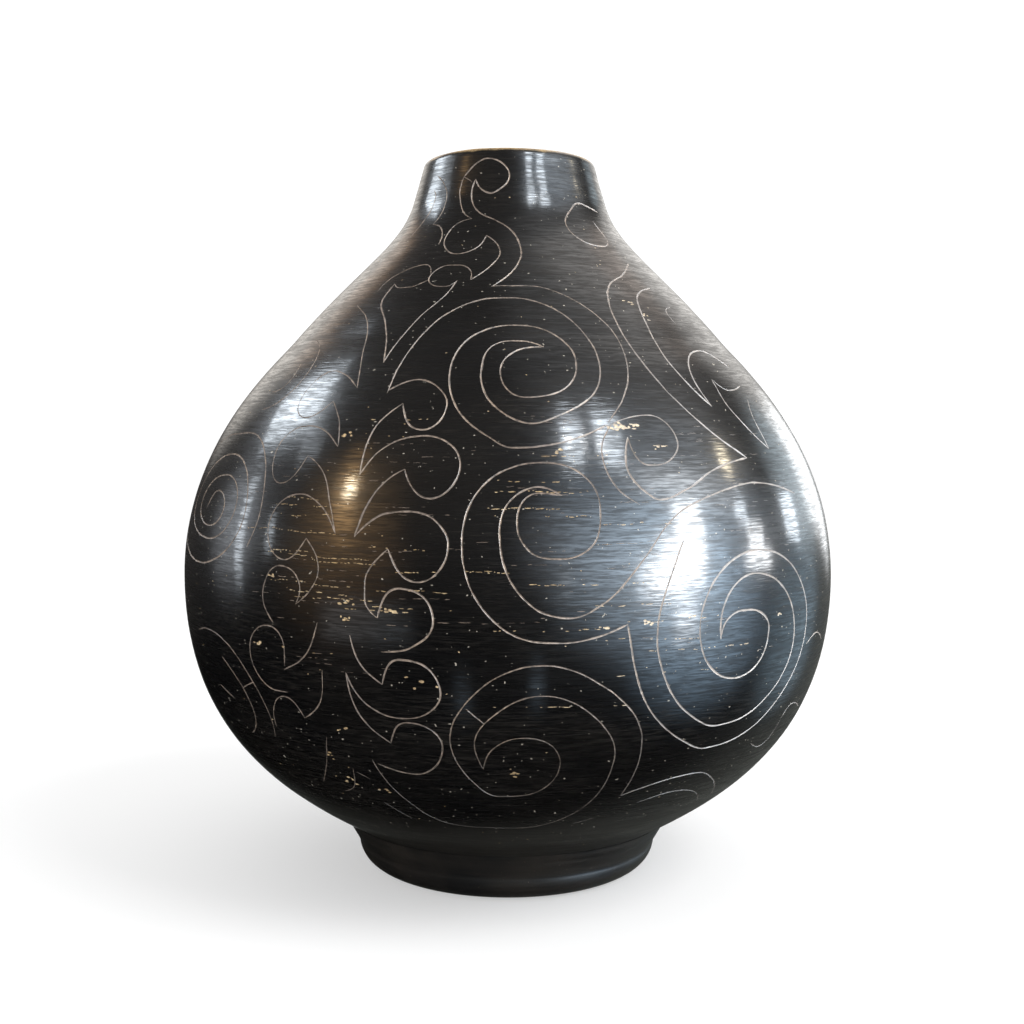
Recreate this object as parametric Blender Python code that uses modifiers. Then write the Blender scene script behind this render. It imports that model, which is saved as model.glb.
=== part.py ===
"""A wide, coil-built clay jar on a low foot ring, as the clay pieces that it is luted together from.

Run with: blender --background --python part.py

Units are metres, +Z is up, and the origin is on the floor under the middle of the jar. The jar is
turned about Z. Its outside is one smooth line from the crease above the foot to the lip, which is cut
at five heights into the bands of clay that a potter would add one on top of the other. Each joint
slopes up towards the inside, as a luted lap joint does, and keeps a hairline gap.
"""

import math

import bpy
from mathutils import Vector
from mathutils.geometry import interpolate_bezier

# Driving dimensions
LIP_HEIGHT = 0.250
BELLY_RADIUS = 0.114
BELLY_HEIGHT = 0.105
WALL_AT_BELLY = 0.006
LIP_THICKNESS = 0.007
LIP_RADIUS = 0.0308
CREASE_RADIUS = 0.0585
CREASE_HEIGHT = 0.018

# The outside line's other two anchors
SHOULDER_RADIUS = 0.076
SHOULDER_HEIGHT = 0.1855
NECK_RADIUS = 0.0341
NECK_HEIGHT = 0.235

# How the outside line leans at each anchor, in degrees outwards from straight up
CREASE_LEAN = 59.5
SHOULDER_LEAN = -40.5
NECK_LEAN = -13.0
LIP_LEAN = -1.0

# Foot ring and floor
FOOT_WALL_RADIUS = 0.0535
FOOT_ROUNDING = 0.009
FOOT_INNER_RADIUS = 0.038
FOOT_INNER_ROUNDING = 0.002
FLOOR_UNDERSIDE = 0.0089
FLOOR_THICKNESS = 0.007
TUCK_LENGTH = 0.0138

# Joints between the bands
BELLY_BAND_BOTTOM = 0.088
BELLY_BAND_TOP = 0.136
NECK_JOINT_HEIGHT = 0.205
LIP_JOINT_HEIGHT = 0.239
JOINT_RISE = 0.003
JOINT_GAP = 0.0004
FOOT_GAP = 0.0003

TURN_STEPS = 64
ROW_SPACING = 0.0075
ARC_SEGMENTS = 6
LINE_SAMPLES = 60
MERGE_DISTANCE = 0.00001

BURNISHED = (0.014, 0.014, 0.016, 1.0)
MATT = (0.030, 0.026, 0.023, 1.0)


def leaning(degrees):
    """The unit direction, as radius and height, that leans outwards from straight up."""
    angle = math.radians(degrees)
    return Vector((math.sin(angle), math.cos(angle)))


def outside_line():
    """Closely spaced points of the outside, as radius and height, from the crease up to the lip."""
    crease = Vector((CREASE_RADIUS, CREASE_HEIGHT))
    belly = Vector((BELLY_RADIUS, BELLY_HEIGHT))
    shoulder = Vector((SHOULDER_RADIUS, SHOULDER_HEIGHT))
    neck = Vector((NECK_RADIUS, NECK_HEIGHT))
    lip = Vector((LIP_RADIUS, LIP_HEIGHT - LIP_THICKNESS / 2))
    arcs = (
        (crease, leaning(CREASE_LEAN) * 0.0296, leaning(0) * 0.052, belly),
        (belly, leaning(0) * 0.046, leaning(SHOULDER_LEAN) * 0.009, shoulder),
        (shoulder, leaning(SHOULDER_LEAN) * 0.0366, leaning(NECK_LEAN) * 0.0158, neck),
        (neck, leaning(NECK_LEAN) * 0.0045, leaning(LIP_LEAN) * 0.0045, lip),
    )
    points = [crease]
    for start, leave, arrive, end in arcs:
        points += interpolate_bezier(start, start + leave, end - arrive, end, LINE_SAMPLES)[1:]
    return points


OUTSIDE = outside_line()


def outside_at(height):
    """The point of the outside at a height, and the unit direction that points straight out of it."""
    for below, above in zip(OUTSIDE, OUTSIDE[1:]):
        if height <= above.y or above is OUTSIDE[-1]:
            share = (height - below.y) / (above.y - below.y)
            along = (above - below).normalized()
            return below.lerp(above, share), Vector((along.y, -along.x))


def thickness_at(height):
    """The wall's thickness, which grows evenly from the belly up to the lip."""
    share = (height - BELLY_HEIGHT) / (LIP_HEIGHT - LIP_THICKNESS / 2 - BELLY_HEIGHT)
    return WALL_AT_BELLY + (LIP_THICKNESS - WALL_AT_BELLY) * min(max(share, 0.0), 1.0)


def inside_at(height):
    """The point of the inside that lies straight behind the outside's point at a height."""
    point, outwards = outside_at(height)
    return point - outwards * thickness_at(height)


def heights_between(low, high):
    """Evenly spaced heights from low to high, both included."""
    steps = max(2, math.ceil((high - low) / ROW_SPACING))
    return [low + (high - low) * i / steps for i in range(steps + 1)]


def arc(centre, radius, first_degrees, last_degrees):
    """Points along an arc, as radius and height, measured anticlockwise from pointing away from the axis."""
    points = []
    for i in range(ARC_SEGMENTS + 1):
        angle = math.radians(first_degrees + (last_degrees - first_degrees) * i / ARC_SEGMENTS)
        points.append(centre + Vector((math.cos(angle), math.sin(angle))) * radius)
    return points


def clay(name, colour, roughness):
    """A Principled material for one piece of fired clay."""
    material = bpy.data.materials.new(name + "_clay")
    material.use_nodes = True
    shader = material.node_tree.nodes["Principled BSDF"]
    shader.inputs["Base Color"].default_value = colour
    shader.inputs["Roughness"].default_value = roughness
    shader.inputs["Metallic"].default_value = 0.0
    return material


def turned(name, profile, material, parent, collection, is_ring=True):
    """A piece turned about Z from its profile, which runs down the piece's outer side."""
    mesh = bpy.data.meshes.new(name)
    edges = [(i, i + 1) for i in range(len(profile) - 1)]
    if is_ring:
        edges.append((len(profile) - 1, 0))
    mesh.from_pydata([(point.x, 0.0, point.y) for point in profile], edges, [])
    mesh.materials.append(material)
    piece = bpy.data.objects.new(name, mesh)
    collection.objects.link(piece)
    piece.parent = parent
    turn = piece.modifiers.new("turn", "SCREW")
    turn.axis = "Z"
    turn.angle = math.tau
    turn.steps = TURN_STEPS
    turn.render_steps = TURN_STEPS
    turn.use_merge_vertices = True
    turn.merge_threshold = MERGE_DISTANCE
    turn.use_smooth_shade = True
    return piece


def band_profile(bottom, top):
    """A band of the wall between two lap joints: down the outside, then up the inside."""
    outer = [outside_at(z)[0] for z in heights_between(bottom + JOINT_GAP / 2, top - JOINT_GAP / 2)]
    inner_bottom = bottom + JOINT_RISE + JOINT_GAP / 2
    inner_top = top + JOINT_RISE - JOINT_GAP / 2
    inner = [inside_at(z) for z in heights_between(inner_bottom, inner_top)]
    return outer[::-1] + inner


def foot_ring_profile():
    """The coil under the jar: a flared, round-edged ring with a ledge that the floor rests on."""
    crease, outwards = outside_at(CREASE_HEIGHT)
    along = Vector((-outwards.y, outwards.x))
    top_outer = crease + outwards * FOOT_GAP
    top_inner = top_outer - along * TUCK_LENGTH
    outer_arc = arc(Vector((FOOT_WALL_RADIUS - FOOT_ROUNDING, FOOT_ROUNDING)), FOOT_ROUNDING, 0, -90)
    inner_centre = Vector((FOOT_INNER_RADIUS + FOOT_INNER_ROUNDING, FOOT_INNER_ROUNDING))
    inner_arc = arc(inner_centre, FOOT_INNER_ROUNDING, -90, -180)
    ledge = FLOOR_UNDERSIDE - FOOT_GAP
    return (
        [top_outer]
        + outer_arc
        + inner_arc
        + [Vector((FOOT_INNER_RADIUS, ledge)), Vector((top_inner.x, ledge)), top_inner]
    )


def floor_profile():
    """The pressed slab that closes the jar below, with a bevelled edge for the bowl to lap onto."""
    crease, outwards = outside_at(CREASE_HEIGHT)
    along = Vector((-outwards.y, outwards.x))
    under_edge = crease - along * TUCK_LENGTH - Vector((JOINT_GAP, 0))
    top = FLOOR_UNDERSIDE + FLOOR_THICKNESS
    bevel_run = (top - under_edge.y) * outwards.x / -outwards.y
    return [
        Vector((0, top)),
        Vector((under_edge.x - bevel_run, top)),
        under_edge,
        Vector((under_edge.x, FLOOR_UNDERSIDE)),
        Vector((0, FLOOR_UNDERSIDE)),
    ]


def lower_bowl_profile():
    """The bowl from the belly band down to the crease, and its end tucked in over the foot ring."""
    crease, outwards = outside_at(CREASE_HEIGHT)
    along = Vector((-outwards.y, outwards.x))
    tucked_end = crease - along * TUCK_LENGTH
    outer = [outside_at(z)[0] for z in heights_between(CREASE_HEIGHT, BELLY_BAND_BOTTOM - JOINT_GAP / 2)]
    inner_top = BELLY_BAND_BOTTOM + JOINT_RISE - JOINT_GAP / 2
    inner = [inside_at(z) for z in heights_between(CREASE_HEIGHT, inner_top)]
    return outer[::-1] + [tucked_end, tucked_end - outwards * WALL_AT_BELLY] + inner


def lip_profile():
    """The last coil, with a fully rounded top edge."""
    side_top = LIP_HEIGHT - LIP_THICKNESS / 2
    outer = [outside_at(z)[0] for z in heights_between(LIP_JOINT_HEIGHT + JOINT_GAP / 2, side_top)]
    edge_centre = Vector((LIP_RADIUS - LIP_THICKNESS / 2, side_top))
    rounded_edge = arc(edge_centre, LIP_THICKNESS / 2, 180, 0)
    inner = [inside_at(LIP_JOINT_HEIGHT + JOINT_RISE + JOINT_GAP / 2)]
    return inner + rounded_edge + outer[-2::-1]


def main():
    for old in list(bpy.data.objects):
        bpy.data.objects.remove(old, do_unlink=True)
    collection = bpy.data.collections.new("barro_negro_pot")
    bpy.context.scene.collection.children.link(collection)
    pot = bpy.data.objects.new("pot", None)
    collection.objects.link(pot)

    turned("foot_ring", foot_ring_profile(), clay("foot_ring", MATT, 0.45), pot, collection)
    turned("base_floor", floor_profile(), clay("base_floor", MATT, 0.7), pot, collection, is_ring=False)
    turned("lower_bowl", lower_bowl_profile(), clay("lower_bowl", BURNISHED, 0.22), pot, collection)
    belly = band_profile(BELLY_BAND_BOTTOM, BELLY_BAND_TOP)
    turned("belly_band", belly, clay("belly_band", BURNISHED, 0.2), pot, collection)
    shoulder = band_profile(BELLY_BAND_TOP, NECK_JOINT_HEIGHT)
    turned("shoulder_dome", shoulder, clay("shoulder_dome", BURNISHED, 0.18), pot, collection)
    neck = band_profile(NECK_JOINT_HEIGHT, LIP_JOINT_HEIGHT)
    turned("neck_collar", neck, clay("neck_collar", BURNISHED, 0.18), pot, collection)
    turned("lip_coil", lip_profile(), clay("lip_coil", BURNISHED, 0.25), pot, collection)


main()
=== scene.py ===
"""The looks of the burnished black clay jar: scratched scrolls, worn lip, gloss, floor, light, camera.

The outside is drawn flat first, on a chart. A chart point is (x, y): x is the azimuth around the jar,
and y grows up the outside at the same scale, so a circle on the chart is a circle on the clay. CHART
units are one radian. Azimuth 0 faces the camera, and it grows towards +X. Scrolls are given as points
of (azimuth in degrees, height in millimetres), drawn on the chart, cut into it as constrained edges,
and the chart is then wrapped onto the outline that the CAD pieces follow.
"""

import math
import random

import bpy
import numpy as np
from mathutils import Matrix, Vector, kdtree
from mathutils.geometry import delaunay_2d_cdt, interpolate_bezier


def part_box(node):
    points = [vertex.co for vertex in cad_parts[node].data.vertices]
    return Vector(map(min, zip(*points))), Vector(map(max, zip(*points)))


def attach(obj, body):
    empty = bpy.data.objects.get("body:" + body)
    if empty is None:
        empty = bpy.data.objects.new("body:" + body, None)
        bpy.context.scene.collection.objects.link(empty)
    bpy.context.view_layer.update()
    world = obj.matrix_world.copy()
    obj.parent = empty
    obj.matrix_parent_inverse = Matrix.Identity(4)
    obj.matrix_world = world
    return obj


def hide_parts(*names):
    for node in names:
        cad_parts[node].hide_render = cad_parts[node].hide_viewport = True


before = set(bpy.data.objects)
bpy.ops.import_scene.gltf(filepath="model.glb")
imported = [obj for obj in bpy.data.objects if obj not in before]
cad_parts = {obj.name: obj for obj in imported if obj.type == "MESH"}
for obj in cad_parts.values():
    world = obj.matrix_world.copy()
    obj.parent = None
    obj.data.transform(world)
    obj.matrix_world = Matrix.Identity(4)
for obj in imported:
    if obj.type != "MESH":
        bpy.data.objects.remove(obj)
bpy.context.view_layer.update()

MM = 0.001
# the material slots of a scratched piece
GLOSS, SCRATCH, INSIDE, CHIP = 0, 1, 2, 3
CHART = 100.0
HALF_CHART = math.pi * CHART


def link_object(name, data):
    """A new object in the scene with the given mesh, light or camera."""
    item = bpy.data.objects.new(name, data)
    bpy.context.scene.collection.objects.link(item)
    return item


# ---------------------------------------------------------------- the outline, as the CAD has it
JOINTS = (0.018, 0.088, 0.136, 0.205, 0.239)
LIP_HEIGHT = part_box("lip_coil")[1].z
LIP_THICKNESS = 0.007
LIP_SIDE_TOP = LIP_HEIGHT - LIP_THICKNESS / 2
LIP_EDGE_OUTER = 0.0030
LIP_EDGE_INNER = 0.0030
LIP_UNEVENNESS = 0.00008
LIP_WORN_DEPTH = 0.0014
FOOT_UNEVENNESS = 0.00005
WALL_AT_BELLY = 0.006
BELLY = Vector((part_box("belly_band")[1].x, 0.105))
CREASE = Vector((0.0585, JOINTS[0]))
SHOULDER = Vector((0.076, 0.1855))
NECK = Vector((0.0341, 0.235))
LIP_SIDE = Vector((0.0308, LIP_SIDE_TOP))
# how the outline leans at these points, in degrees outwards from straight up
CREASE_LEAN = 59.5
SHOULDER_LEAN = -40.5
NECK_LEAN = -16.5
LIP_LEAN = -15.0
JOINT_RISE = 0.003
JOINT_CLEARANCE = 0.0002
TUCK_LENGTH = 0.0138
# the gap between the floor and the ledge that holds it, and the seam between the foot and the bowl
FOOT_GAP = 0.0003
FOOT_SEAM = 0.0001
FOOT_WALL_RADIUS = 0.0535
FOOT_ROUNDING = 0.009
FOOT_INNER_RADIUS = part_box("foot_ring")[0].z + 0.038
FOOT_INNER_ROUNDING = 0.002
FLOOR_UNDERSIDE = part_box("base_floor")[0].z
FLOOR_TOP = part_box("base_floor")[1].z
LINE_SAMPLES = 240


def leaning(degrees):
    """The unit direction, as radius and height, that leans outwards from straight up."""
    angle = math.radians(degrees)
    return Vector((math.sin(angle), math.cos(angle)))


def outside_line():
    """Close points of the outside, as rows of radius and height, from the crease to the lip's side."""
    arcs = (
        (CREASE, leaning(CREASE_LEAN) * 0.0296, leaning(0) * 0.052, BELLY),
        (BELLY, leaning(0) * 0.046, leaning(SHOULDER_LEAN) * 0.009, SHOULDER),
        (SHOULDER, leaning(SHOULDER_LEAN) * 0.0366, leaning(NECK_LEAN) * 0.0158, NECK),
        (NECK, leaning(NECK_LEAN) * 0.0045, leaning(LIP_LEAN) * 0.0045, LIP_SIDE),
    )
    points = [CREASE]
    for start, leave, arrive, end in arcs:
        points += interpolate_bezier(start, start + leave, end - arrive, end, LINE_SAMPLES)[1:]
    return np.array([(p.x, p.y) for p in points])


LINE = outside_line()
LINE_STEPS = np.hypot(*np.diff(LINE, axis=0).T)
LINE_CHART = CHART * np.concatenate([[0], np.cumsum(LINE_STEPS * 2 / (LINE[1:, 0] + LINE[:-1, 0]))])
LINE_ALONG = np.gradient(LINE, axis=0)
LINE_ALONG /= np.hypot(*LINE_ALONG.T)[:, None]


def chart_y(height):
    """The chart's y at a height in metres."""
    return np.interp(height, LINE[:, 1], LINE_CHART)


def outline_at(y):
    """Radius, height and the outward normal's two parts, at a chart y."""
    radius = np.interp(y, LINE_CHART, LINE[:, 0])
    height = np.interp(y, LINE_CHART, LINE[:, 1])
    out_r = np.interp(y, LINE_CHART, LINE_ALONG[:, 1])
    out_z = np.interp(y, LINE_CHART, -LINE_ALONG[:, 0])
    return radius, height, out_r, out_z


def inside_point(height):
    """The point of the inside behind a height of the outside, as radius and height."""
    radius, z, out_r, out_z = outline_at(chart_y(height))
    share = min(max((height - BELLY.y) / (LIP_SIDE_TOP - BELLY.y), 0.0), 1.0)
    wall = WALL_AT_BELLY + (LIP_THICKNESS - WALL_AT_BELLY) * share
    return Vector((float(radius - out_r * wall), float(z - out_z * wall)))


# ---------------------------------------------------------------- hand-made unevenness
WAVES = (
    # how far (mm), turns around the jar, chart units up the jar for one wave, phase
    (0.050, 3, 260.0, 0.4),
    (0.040, 7, 95.0, 2.1),
    (0.020, 13, 47.0, 4.0),
    (0.014, 4, 21.0, 1.2),
    (0.008, 23, 33.0, 5.1),
)


def waviness(x, y):
    """How far the hand-burnished wall stands in or out, in metres, at chart points."""
    total = np.zeros_like(x)
    for far, turns, rise, phase in WAVES:
        total += far * MM * np.cos(turns * x / CHART + phase) * np.cos(math.tau * y / rise + phase * 2)
    return total


def wrapped(x, y, lift=0.0):
    """Chart points on the clay: an array of positions in metres. lift is how far they stand out."""
    radius, height, out_r, out_z = outline_at(y)
    stand = waviness(x, y) + lift
    reach = radius + out_r * stand
    angle = x / CHART
    return np.stack([reach * np.sin(angle), -reach * np.cos(angle), height + out_z * stand], axis=1)


def wrapped_normals(x, y):
    """The unit normals of the uneven wall at chart points."""
    step = 0.4
    around = wrapped(x + step, y) - wrapped(x - step, y)
    low = np.clip(y - step, 0, LINE_CHART[-1])
    high = np.clip(y + step, 0, LINE_CHART[-1])
    up = wrapped(x, high) - wrapped(x, low)
    normals = np.cross(around, up)
    return normals / np.linalg.norm(normals, axis=1)[:, None]


# ---------------------------------------------------------------- the scratched scrolls
# millimetres: the widths of the two strengths of line, then the depth and the steps of lines and of marks
BOLD = 0.48
FINE = 0.35
CUT_DEPTH = 0.20
CUT_STEP = 0.75
FLECK_STEP = 0.3
FLECK_DEPTH = 0.10
SHAKE = 0.10
# the shares by which a line's width changes quickly and slowly along it, and its depth
WIDTH_QUICKLY = 0.24
WIDTH_SLOWLY = 0.16
DEPTH_CHANGE = 0.25
# points higher than this (mm) keep their height when a scroll wanders, so that none runs over the lip
WANDER_BELOW = 236
# a line keeps this share of its width at its very end, and all of it this far in (mm)
END_SHARE = 0.30
TAPER_LENGTH = 2.4
# lines are thinner low on the jar: from this share at the first height (m) to all of it at the second
THINNER_HEIGHTS = (0.040, 0.090)
THINNER_SHARES = (0.72, 1.0)
# lines on the jar's right are bolder: from the first azimuth (degrees) to the second
BOLDER_AZIMUTHS = (10, 30)
BOLDER_SHARES = (1.0, 1.12)

NECK_SCROLLS = (
    (BOLD, (-28, 240), (-19, 245), (-14, 246), (-5, 244.5), (0, 240), (-5, 235.4), (-10, 234),
     (-16, 235.6), (-20, 239)),
    (BOLD, (-20, 239), (-21.4, 235), (-19.4, 230), (-14, 226.6), (-6, 224), (0, 221), (4.4, 213),
     (2, 206.5), (-5, 200)),
    (FINE, (-28, 240), (-29, 236), (-27.7, 232), (-24, 227.5), (-18.5, 225)),
    (FINE, (-28, 240), (-24.5, 239), (-22, 238)),
    (FINE, (-18.5, 225), (-24, 224), (-28, 219), (-26, 215), (-19, 212), (-12, 214.4), (-9.6, 218.6)),
    (FINE, (-9.6, 218.6), (-5.4, 216), (-3.2, 212), (-6, 207.4), (-11.5, 202.5)),
    (FINE, (-50, 237), (-46.5, 234), (-46.8, 230.5), (-49.5, 225), (-51, 220)),
    (FINE, (-50, 242), (-42.4, 239), (-37.3, 232), (-38.5, 226), (-40, 224)),
    (FINE, (-40, 224), (-34.7, 223), (-30.6, 219.6), (-29.6, 216)),
    (BOLD, (57, 230), (50, 231), (42, 232), (34.7, 229.4), (27.7, 223), (33, 217.5), (41, 216.4),
     (49, 220.7), (47.4, 226)),
)
SHOULDER_SCROLLS = (
    (FINE, (-11.5, 202.5), (-12.5, 206), (-17, 208), (-22.6, 207.6), (-25.5, 204), (-22.6, 201),
     (-18.5, 200.5), (-15.6, 202.4)),
    (FINE, (-15.6, 202.4), (-17, 198.6), (-22.6, 190), (-25.5, 182), (-26.4, 175.7)),
    (FINE, (-25.5, 205), (-30.3, 208.7), (-36.3, 207.4), (-42, 203.5), (-42.7, 200)),
    (FINE, (-25.5, 203), (-31, 200.8), (-35.4, 201), (-37.5, 202.4)),
    (BOLD, (-37.5, 202.4), (-38, 198), (-32, 189), (-28, 181.4), (-26.4, 175.7)),
    (FINE, (-5, 200.3), (6, 200.4), (17.5, 196), (25.5, 182), (23, 169.4), (17, 157.8)),
    (BOLD, (-22.8, 166.3), (-22, 177), (-17.7, 188.6), (-7.4, 195.6), (0.7, 196.3), (12, 192.4),
     (18.7, 178), (16, 167), (9, 160), (4, 157.5), (-1.7, 161.4), (-5.3, 173), (-2, 181.7), (2.5, 182.3),
     (7.5, 180.5)),
    (BOLD, (7.5, 180.5), (1, 178.6), (-1.6, 173), (3, 165), (10.6, 168), (13.7, 177), (9, 185.4),
     (2, 187.3), (-8, 183.8), (-11.4, 174), (-8.7, 161.4), (-3.4, 153.8), (0.7, 150.6), (7.3, 151.6),
     (17, 157.2)),
    (FINE, (17.7, 157.6), (25, 160.2), (29.3, 153), (26, 146.3), (23, 145.7), (20, 153.7)),
    (BOLD, (20, 153.7), (18.8, 146), (21.4, 138), (23.8, 135.8), (28.7, 138.6), (35, 144), (44.3, 147.5)),
    (FINE, (17.7, 157.6), (15, 149), (17, 138.6), (20, 134.6)),
    (BOLD, (50, 211), (41, 206.3), (31.3, 201.5), (27.3, 190), (28, 180), (32.3, 165), (38.6, 154),
     (44.3, 147.5)),
    (BOLD, (50, 202.3), (41, 199.3), (36.2, 187.6), (35.7, 180), (38, 169), (41, 163)),
    (BOLD, (41, 163), (40, 170), (45.3, 180), (50, 181.2), (58, 176)),
    (FINE, (46, 171.7), (45.6, 166), (48.5, 156.4), (52.6, 150)),
    (FINE, (52.6, 150), (52.5, 158), (55, 165.5)),
    (FINE, (46, 171.7), (49.5, 168.3), (56, 170)),
    (FINE, (48.5, 190), (48, 193), (52.6, 196)),
    (FINE, (-54.7, 184.5), (-49, 181), (-46.4, 173), (-50, 164), (-55, 161.6)),
    (FINE, (-52, 176.5), (-51, 172), (-53, 168), (-55.7, 167.5)),
)
BELLY_SCROLLS = (
    (BOLD, (8, 137.3), (4.5, 138), (1.3, 130), (3, 122), (8, 119.8), (12, 123), (13.7, 135), (11, 143.6),
     (5.5, 146.4), (-2.6, 142), (-6.6, 124), (-4.2, 108), (2, 97.5), (7, 96.3), (12, 97.3),
     (17.4, 101.2)),
    (BOLD, (8, 137.3), (4.5, 139.6), (0, 135), (-1.2, 127), (0.6, 113), (5, 104.8), (9, 103.3),
     (13.5, 107), (20, 119.4), (25.3, 130.4), (35.4, 137.7), (43.8, 140), (56.3, 136)),
    (BOLD, (33.3, 94.8), (34, 99.5), (38.3, 102.8), (44, 96), (42.2, 86), (37.5, 82.3), (31, 88.5),
     (29.2, 98.4), (33, 114.5), (41.2, 120.2), (51.6, 112.7), (56.2, 95), (50.5, 71.4), (43, 62.3),
     (35, 60.3), (29, 64.5), (22, 75.2), (17.3, 101)),
    (BOLD, (33.3, 94.8), (33.6, 104.5), (40, 113.3), (48.5, 106.5), (51.8, 91), (45.3, 72), (36, 67.6),
     (29.2, 72.8), (23, 88), (22, 97.5), (25.3, 119), (27, 125)),
    (FINE, (57.3, 88), (62, 90.6), (67, 87)),
    (FINE, (56, 64), (58.4, 68), (64.6, 65)),
    (FINE, (48, 57.8), (52.6, 55.4), (56, 64)),
    (BOLD, (-61, 130), (-57.5, 136), (-53.5, 130.5), (-58, 125), (-65, 132), (-56, 141), (-49.6, 132),
     (-57, 121), (-70, 131), (-57, 147.5), (-46.4, 130), (-60, 113), (-76, 128), (-73, 146), (-60, 154),
     (-50, 153), (-42.4, 131), (-44.3, 120)),
    (FINE, (-62, 90.7), (-57, 92.3), (-49.6, 88.7), (-45, 80.7), (-42, 67), (-43, 61)),
    (FINE, (-52.7, 84.7), (-46.5, 69), (-48.6, 62), (-50.6, 60)),
    (FINE, (-47.8, 75.8), (-44, 78.7)),
    (FINE, (-56.4, 74.3), (-51.7, 71)),
    (FINE, (-3.8, 58), (-2.5, 64), (2.5, 68.3), (7.5, 64.5), (8.5, 59.5), (5.2, 50), (-1, 48.2),
     (-6.2, 54.7), (-8.7, 67), (-4.5, 82), (5.2, 90), (14, 83.5), (20.8, 70), (22, 58), (21, 46.6)),
    (FINE, (-3.8, 58), (-5, 66), (-1.5, 76), (5.2, 81), (13, 74.5), (17.4, 60), (15.5, 45.5), (7.2, 36),
     (-5, 35), (-13.5, 37.2), (-18.2, 43.8), (-22, 55.4), (-22.5, 59)),
    (FINE, (-6, 77), (-3.4, 72.5)),
    (BOLD, (21, 46.6), (27.6, 50), (35, 51.4), (44.3, 45), (49, 38.3)),
    (FINE, (25.5, 42.7), (33, 45.2), (39.6, 43), (45.3, 37)),
    (FINE, (13.8, 36), (17.7, 38)),
)
LEAF_SCROLLS = (
    (BOLD, (-22.8, 167), (-17.3, 170.3), (-12.8, 167.6), (-10.8, 162.5), (-14.4, 155.5), (-19, 163.2)),
    (BOLD, (-19, 163.2), (-22.8, 156.6), (-23.8, 149), (-23.7, 142.5)),
    (BOLD, (-23.7, 142.5), (-21, 149.5), (-14, 153.8), (-9, 151), (-7.4, 145.5), (-11.7, 136.3),
     (-16.2, 144.3)),
    (BOLD, (-16.2, 144.3), (-19, 141), (-21.5, 134), (-23, 125)),
    (BOLD, (-23, 125), (-20, 130.4), (-15, 132.6), (-10.2, 129.4), (-8.5, 123.5), (-13, 113),
     (-17.5, 122)),
    (BOLD, (-17.5, 122), (-20.7, 113.8), (-20.8, 108), (-18.8, 102.5)),
    (BOLD, (-18.8, 102.5), (-15.5, 111), (-12, 109), (-10.5, 102), (-13.4, 94.8), (-18.4, 92.8)),
    (BOLD, (-23.3, 97), (-21.5, 88), (-18.5, 83.2)),
    (BOLD, (-18.5, 83.2), (-15.5, 90.8), (-11, 87.8), (-9.7, 81.5), (-12, 75), (-16.5, 73.3), (-22, 77.8),
     (-24.4, 86)),
    (BOLD, (-24.4, 86), (-22.5, 72), (-18.4, 65)),
    (BOLD, (-18.4, 65), (-15, 72), (-10, 65.5), (-11.2, 59), (-15.5, 55), (-21.7, 57.6)),
    (FINE, (-27, 55), (-29.6, 46.7), (-32, 45)),
    (FINE, (-26.5, 53.6), (-24.4, 51.6)),
    (FINE, (-24, 43), (-19.6, 37)),
    (FINE, (-47.4, 195.7), (-38.5, 190), (-32.8, 178), (-29.8, 168)),
    (FINE, (-29.8, 168), (-34.4, 172.2), (-38.3, 173.5), (-43, 165), (-39, 159), (-34, 164)),
    (FINE, (-34, 164), (-30.7, 158), (-29.2, 150.5)),
    (FINE, (-29.2, 150.5), (-33.3, 155.3), (-37.3, 156.5), (-43, 149), (-39.2, 139.5), (-34.8, 147.7)),
    (FINE, (-34.8, 147.7), (-30.7, 143.2), (-28, 134), (-26.3, 125.7)),
    (FINE, (-26.3, 125.7), (-29.7, 133.5), (-34, 136.6), (-39.7, 127), (-35.5, 117.4), (-31.5, 124)),
    (FINE, (-31.5, 124), (-28.7, 115), (-30.2, 109), (-32.8, 104.7)),
    (FINE, (-32.8, 104.7), (-32, 109), (-36, 115.6), (-39.7, 106), (-37.5, 98.5)),
    (FINE, (-36, 77.6), (-41, 79), (-43.6, 88), (-38.7, 97.4), (-35.5, 91), (-35.8, 85.7)),
    (FINE, (-28.8, 100), (-31, 90.7), (-36, 84.5)),
    (FINE, (-28.5, 86), (-29.8, 75.8), (-33.7, 70)),
    (FINE, (-33.7, 70), (-37, 76), (-40.7, 70), (-41.3, 65)),
    (FINE, (-30.2, 64.7), (-32.4, 55.5), (-36, 47.5)),
)
SIDE_SCROLLS = (
    (BOLD, (-1, 108), (1.5, 113.5), (6, 108), (1, 100), (-5.5, 109), (2, 121), (12, 108), (2, 92),
     (-11, 108), (1, 129), (17, 110), (8, 86)),
    (BOLD, (-13, 100), (-14, 116), (-4, 133), (6, 137), (17, 128)),
    (BOLD, (-14, 208), (-8, 190), (-12, 172), (-6, 155), (6, 148), (14, 157), (10, 169), (3, 163)),
    (FINE, (-5, 206), (0, 190), (-3, 176), (3, 163)),
    (FINE, (10, 205), (16, 196), (17, 184), (10, 178), (5, 186), (9, 192)),
    (BOLD, (-10, 242), (-2, 244), (6, 240), (3, 234), (-4, 237)),
    (BOLD, (-14, 238), (-6, 226), (0, 218), (10, 214), (14, 220), (8, 224)),
    (FINE, (-15, 70), (-4, 82), (9, 78), (14, 64), (7, 54), (-1, 60), (2, 68)),
    (FINE, (-12, 58), (-7, 48), (4, 43), (15, 47), (20, 56)),
)
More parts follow.
